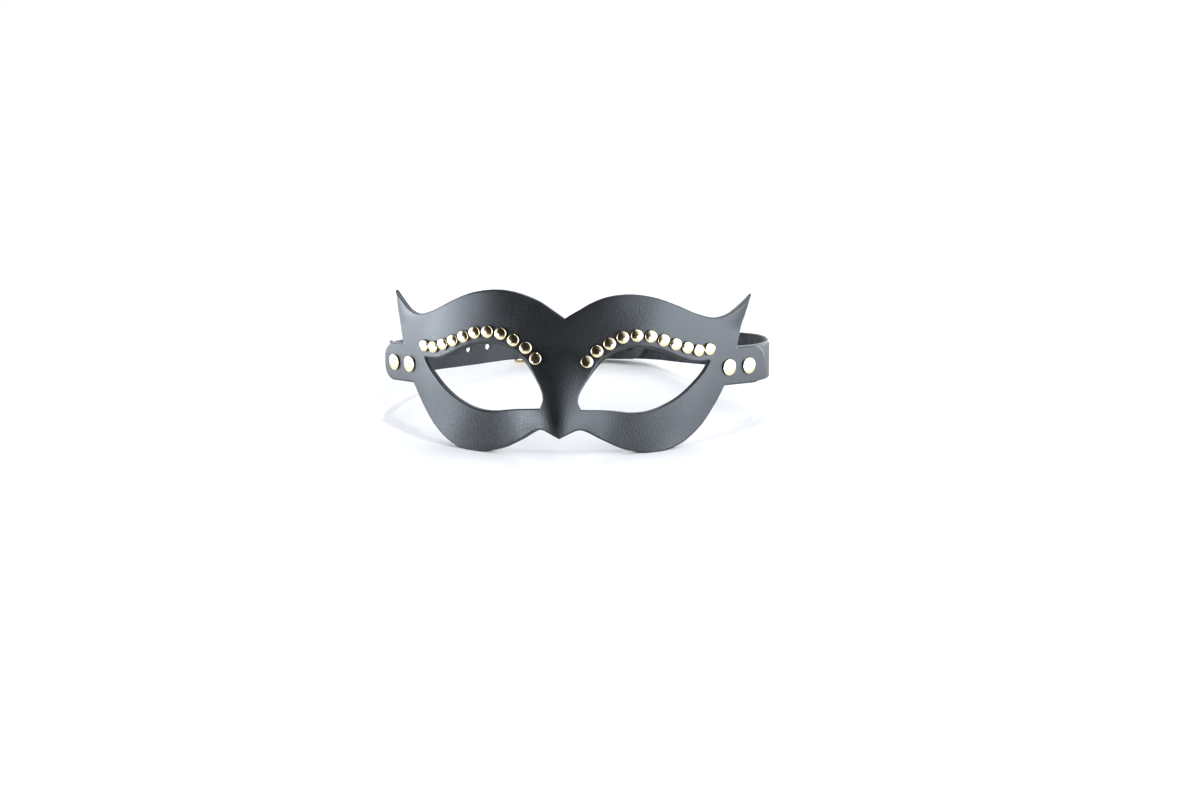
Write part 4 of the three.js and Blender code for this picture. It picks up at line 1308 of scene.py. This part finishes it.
class MASK_OT_rivets(bpy.types.Operator):
    """Sets the rivets through the tabs and through the folded strap"""

    bl_idname = "mask.rivets"
    bl_label = "Rivets"

    def execute(self, context):
        size = sizes()
        radius, rise, strap = in_mm(size.rivet_radius), in_mm(size.rivet_rise), in_mm(size.strap_thickness)
        u, v = tab_rivets().T
        profile = rivet_profile(radius, rise, in_mm(size.mask_thickness) + GAP + strap)
        points, axes = face_point(u, v), face_normal(u, v)
        piece = set_fasteners("tab_rivets", points, axes, profile, RIVET_FOOT, TAB_RIVET_TIP, stud_brass())
        finish_piece(piece, stud_brass(), "brass", *nodes_named("tab_rivet"))
        loop = StrapLoop()
        station = np.array(STRAP_RIVETS)
        plan = loop.beside(station, np.full(2, strap / 2))
        points = np.column_stack([plan, loop_height(STRAP_RIVET_HEIGHT, plan)])
        axes = np.column_stack([loop.outward(station), (0, 0)])
        profile = rivet_profile(in_mm(size.strap_rivet_radius), rise, 2 * strap + LAYER_SPACE)
        brass = buckle_brass()
        piece = set_fasteners("strap_rivets", points, axes, profile, RIVET_FOOT, STRAP_RIVET_TIP, brass)
        finish_piece(piece, brass, "brass", *nodes_named("strap_rivet"))
        return {"FINISHED"}


class MASK_OT_straps(bpy.types.Operator):
    """Cuts the holed strap and the buckle strap and bends them round the loop"""

    bl_idname = "mask.straps"
    bl_label = "Straps"

    def execute(self, context):
        size = sizes()
        loop = StrapLoop()
        hole = in_mm(size.hole_radius)
        station, line = loop.billet_line()
        run = run_along(line)
        end = float(np.interp(BILLET_END, station, run))
        holes = []
        for i in range(HOLE_COUNT):
            at = float(np.interp(FIRST_HOLE + i * HOLE_PITCH, station, run))
            pulled = np.interp((TONGUE_CROSSING - HOLE_PULL, TONGUE_CROSSING + HOLE_PULL), station, run)
            holes.append(slot_loop(*pulled, hole) if i == HOLE_IN_USE else hole_loop(at, HOLE_ROW, hole))
        rivets = [nearest_run(line, run, behind_tab(u) * (-1, 1)) for u in TAB_RIVETS]
        posts = [post_hole(at, TAB_RIVET_HEIGHT) for at in rivets]
        piece = wrapped_strap("holed_strap", line, end, BILLET_TIP, holes, posts)
        finish_piece(piece, strap_leather(), "strap_leather", "billet_strap")

        mark, line = loop.buckle_line()
        run = run_along(line)
        end = float(run[-1]) - 1
        fold = int(np.argmax(mark < 0))
        turn = int(np.argmax(mark <= PIVOT_BAR))
        near_tab = slice(200)
        rivets = [nearest_run(line[near_tab], run[near_tab], behind_tab(u)) for u in TAB_RIVETS]
        posts = [post_hole(at, TAB_RIVET_HEIGHT) for at in rivets]
        for rivet in STRAP_RIVETS:
            before = float(np.interp(-rivet, -mark[:turn], run[:turn]))
            behind = float(np.interp(rivet, -mark[fold:], run[fold:]))
            posts += [post_hole(at, STRAP_RIVET_HEIGHT) for at in (before, behind)]
        slot = slot_loop(float(run[turn]) - 2, float(run[fold]) + 2, TONGUE_SLOT / 2)
        piece = wrapped_strap("folded_strap", line, end, in_mm(size.strap_width) / 2, [slot], posts)
        finish_piece(piece, strap_leather(), "strap_leather", "buckle_strap")
        return {"FINISHED"}


def rounded_loop(length, height, corner, steps=8):
    x, y = length / 2 - corner, height / 2 - corner
    corners = [((x, -y), -90), ((x, y), 0), ((-x, y), 90), ((-x, -y), 180)]
    return closed(np.vstack([arc(centre, corner, start, start + 90, steps) for centre, start in corners]))


def dense(loop, pitch):
    """A closed loop with extra points on its long sides"""
    return closed(even_points(np.vstack([loop, loop[:1]]), pitch))


def set_on_loop(points, along, up, out, origin):
    """Places points drawn along three directions in the upright band, then in the frame"""
    return to_frame(origin + points[:, :1] * along + points[:, 1:2] * up + points[:, 2:] * out)


class MASK_OT_buckle(bpy.types.Operator):
    """Makes the buckle's frame and tongue, and the keeper beside it"""

    bl_idname = "mask.buckle"
    bl_label = "Buckle and keeper"

    def execute(self, context):
        loop = StrapLoop()
        up = np.array([0, 0, 1.0])
        middle = BAND_LOW + in_mm(sizes().strap_width) / 2
        self.make_frame(loop, up, middle)
        self.make_tongue(loop)
        self.make_keeper(loop, up, middle)
        return {"FINISHED"}

    def bars(self, loop):
        far = np.append(loop.beside(FAR_BAR, loop.far_bar_offset), 0)
        pivot = np.append(loop.beside(PIVOT_BAR, 0.0), 0)
        return far, pivot

    def make_frame(self, loop, up, middle):
        far, pivot = self.bars(loop)
        along = unit(pivot - far)
        spacing = np.linalg.norm(pivot - far)
        centre = (far + pivot) / 2
        centre[2] = loop_height(middle, centre)
        loops = [dense(rounded_loop(spacing + BAR_THICKNESS, FRAME_HEIGHT, FRAME_CORNER), 0.8),
                 dense(rounded_loop(spacing - BAR_THICKNESS, FRAME_INNER_HEIGHT, 0.9, 5), 0.8)]
        points, faces, _ = flat_piece(loops, BAR_THICKNESS, (0.7, 0.7), 0.7)
        points[:, 2] += BAR_THICKNESS / 2
        placed = set_on_loop(points, along, up, np.cross(along, up), centre)
        piece = make_mesh("buckle_ring", placed, faces)
        finish_piece(piece, buckle_brass(), "brass", "buckle_frame")

    def make_tongue(self, loop):
        """A round pin that is rolled round the pivot bar and rests, a little bent, on the far bar"""
        _, pivot = self.bars(loop)
        over = loop.far_bar_offset + BAR_THICKNESS / 2 + GAP + TONGUE_HALF
        rest = np.append(loop.beside(FAR_BAR - TONGUE_PAST_BAR, over + TONGUE_RISE), 0)
        reach = rest - pivot
        length = np.linalg.norm(reach)
        along = reach / length
        out = np.cross(along, [0, 0, 1.0])
        if np.dot(out[:2], loop.outward(PIVOT_BAR)) < 0:
            out = -out
        ring = loop.bar_clear + TONGUE_ROLL
        turn = np.radians(np.linspace(330, 30, 30))
        roll = np.stack([ring * np.cos(turn), ring * np.sin(turn)], axis=1)
        shaft_x = np.linspace(ring + 1.2, length - 0.8, 16)
        bow = 0.25 * np.sin((shaft_x - shaft_x[0]) / (shaft_x[-1] - shaft_x[0]) * math.pi)
        shaft = np.stack([shaft_x, bow], axis=1)
        path = np.vstack([roll, shaft])
        height = loop_height(HOLE_ROW, pivot)
        tip = (0.84, 0.78, 0.66, 0.45)
        shaft_radius = np.linspace(0.78, 0.85, len(shaft) - len(tip))
        radius = np.concatenate([np.full(len(roll), TONGUE_ROLL), shaft_radius, tip])
        placed, faces = tube(path, radius, (TONGUE_SPREAD, 1.0), TONGUE_SIDES)
        origin = np.array([pivot[0], pivot[1], height])
        points = set_on_loop(placed, along, np.array([0, 0, 1.0]), out, origin)
        piece = make_mesh("buckle_pin", points, faces)
        finish_piece(piece, buckle_brass(), "brass", "buckle_tongue")

    def make_keeper(self, loop, up, middle):
        inner = loop.fold_layer - loop.strap / 2 - GAP
        outer = float(loop.billet_offset(KEEPER_STATION)) + loop.strap / 2 + GAP
        tall = in_mm(sizes().strap_width) + 2 * GAP
        deep, wall = outer - inner, 2 * KEEPER_WALL
        loops = [dense(rounded_loop(deep + wall, tall + wall, KEEPER_CORNER), 0.7),
                 dense(rounded_loop(deep, tall, 0.6, 4), 0.7)]
        points, faces, _ = flat_piece(loops, KEEPER_LENGTH, (0.28, 0.28), 0.5)
        points[:, 2] += KEEPER_LENGTH / 2
        outward = np.append(loop.outward(KEEPER_STATION), 0)
        centre = np.append(loop.beside(KEEPER_STATION, (inner + outer) / 2), 0)
        centre[2] = loop_height(middle, centre)
        placed = set_on_loop(points, outward, up, np.cross(outward, up), centre)
        placed[:, 2] = np.maximum(placed[:, 2], 0)
        piece = make_mesh("metal_keeper", placed, faces)
        finish_piece(piece, buckle_brass(), "brass", "strap_keeper")


def tube(path, radius, squash, sides):
    """Closed tube along a line drawn in x and z, with a radius at each point and round ends"""
    tangent = unit(np.gradient(path, axis=0))
    across = np.stack([-tangent[:, 1], tangent[:, 0]], axis=1)
    angles = 2 * math.pi * np.arange(sides) / sides
    points, faces = [], []
    for centre, side, r in zip(path, across, radius):
        for a in angles:
            step = side * r * squash[1] * math.cos(a)
            points.append((centre[0] + step[0], r * squash[0] * math.sin(a), centre[1] + step[1]))
    rings = len(path)
    for i in range(rings - 1):
        for k in range(sides):
            after = (k + 1) % sides
            low, high = i * sides, (i + 1) * sides
            faces.append((low + k, low + after, high + after, high + k))
    ends = []
    for i, ahead in ((0, -1), (rings - 1, 1)):
        tip = path[i] + ahead * tangent[i] * radius[i] * 0.6
        ends.append(len(points))
        points.append((tip[0], 0, tip[1]))
    for k in range(sides):
        after = (k + 1) % sides
        last = (rings - 1) * sides
        faces.append((after, k, ends[0]))
        faces.append((last + k, last + after, ends[1]))
    return np.array(points), faces


class MASK_PT_panel(bpy.types.Panel):
    """Sizes, colours and steps of the mask"""

    bl_idname = "MASK_PT_panel"
    bl_label = "Studded leather mask"
    bl_space_type = "VIEW_3D"
    bl_region_type = "UI"
    bl_category = "Mask"

    def draw(self, context):
        layout = self.layout
        for step in STEPS:
            layout.operator(step.bl_idname)
        for group in (context.scene.mask_sizes, context.scene.mask_colours, context.scene.mask_stage):
            box = layout.box()
            for name in group.__annotations__:
                box.prop(group, name)


STEPS = (
    MASK_OT_stage, MASK_OT_mask_front, MASK_OT_brow_studs, MASK_OT_rivets, MASK_OT_straps, MASK_OT_buckle)
GROUPS = (MaskSizes, MaskColours, MaskStage)


def register():
    for cls in (*GROUPS, *STEPS, MASK_PT_panel):
        bpy.utils.register_class(cls)
    bpy.types.Scene.mask_sizes = bpy.props.PointerProperty(type=MaskSizes)
    bpy.types.Scene.mask_colours = bpy.props.PointerProperty(type=MaskColours)
    bpy.types.Scene.mask_stage = bpy.props.PointerProperty(type=MaskStage)


def unregister():
    del bpy.types.Scene.mask_sizes
    del bpy.types.Scene.mask_colours
    del bpy.types.Scene.mask_stage
    for cls in reversed((*GROUPS, *STEPS, MASK_PT_panel)):
        bpy.utils.unregister_class(cls)


def main():
    register()
    for step in STEPS:
        area, name = step.bl_idname.split(".")
        getattr(getattr(bpy.ops, area), name)()


if __name__ == "__main__":
    main()
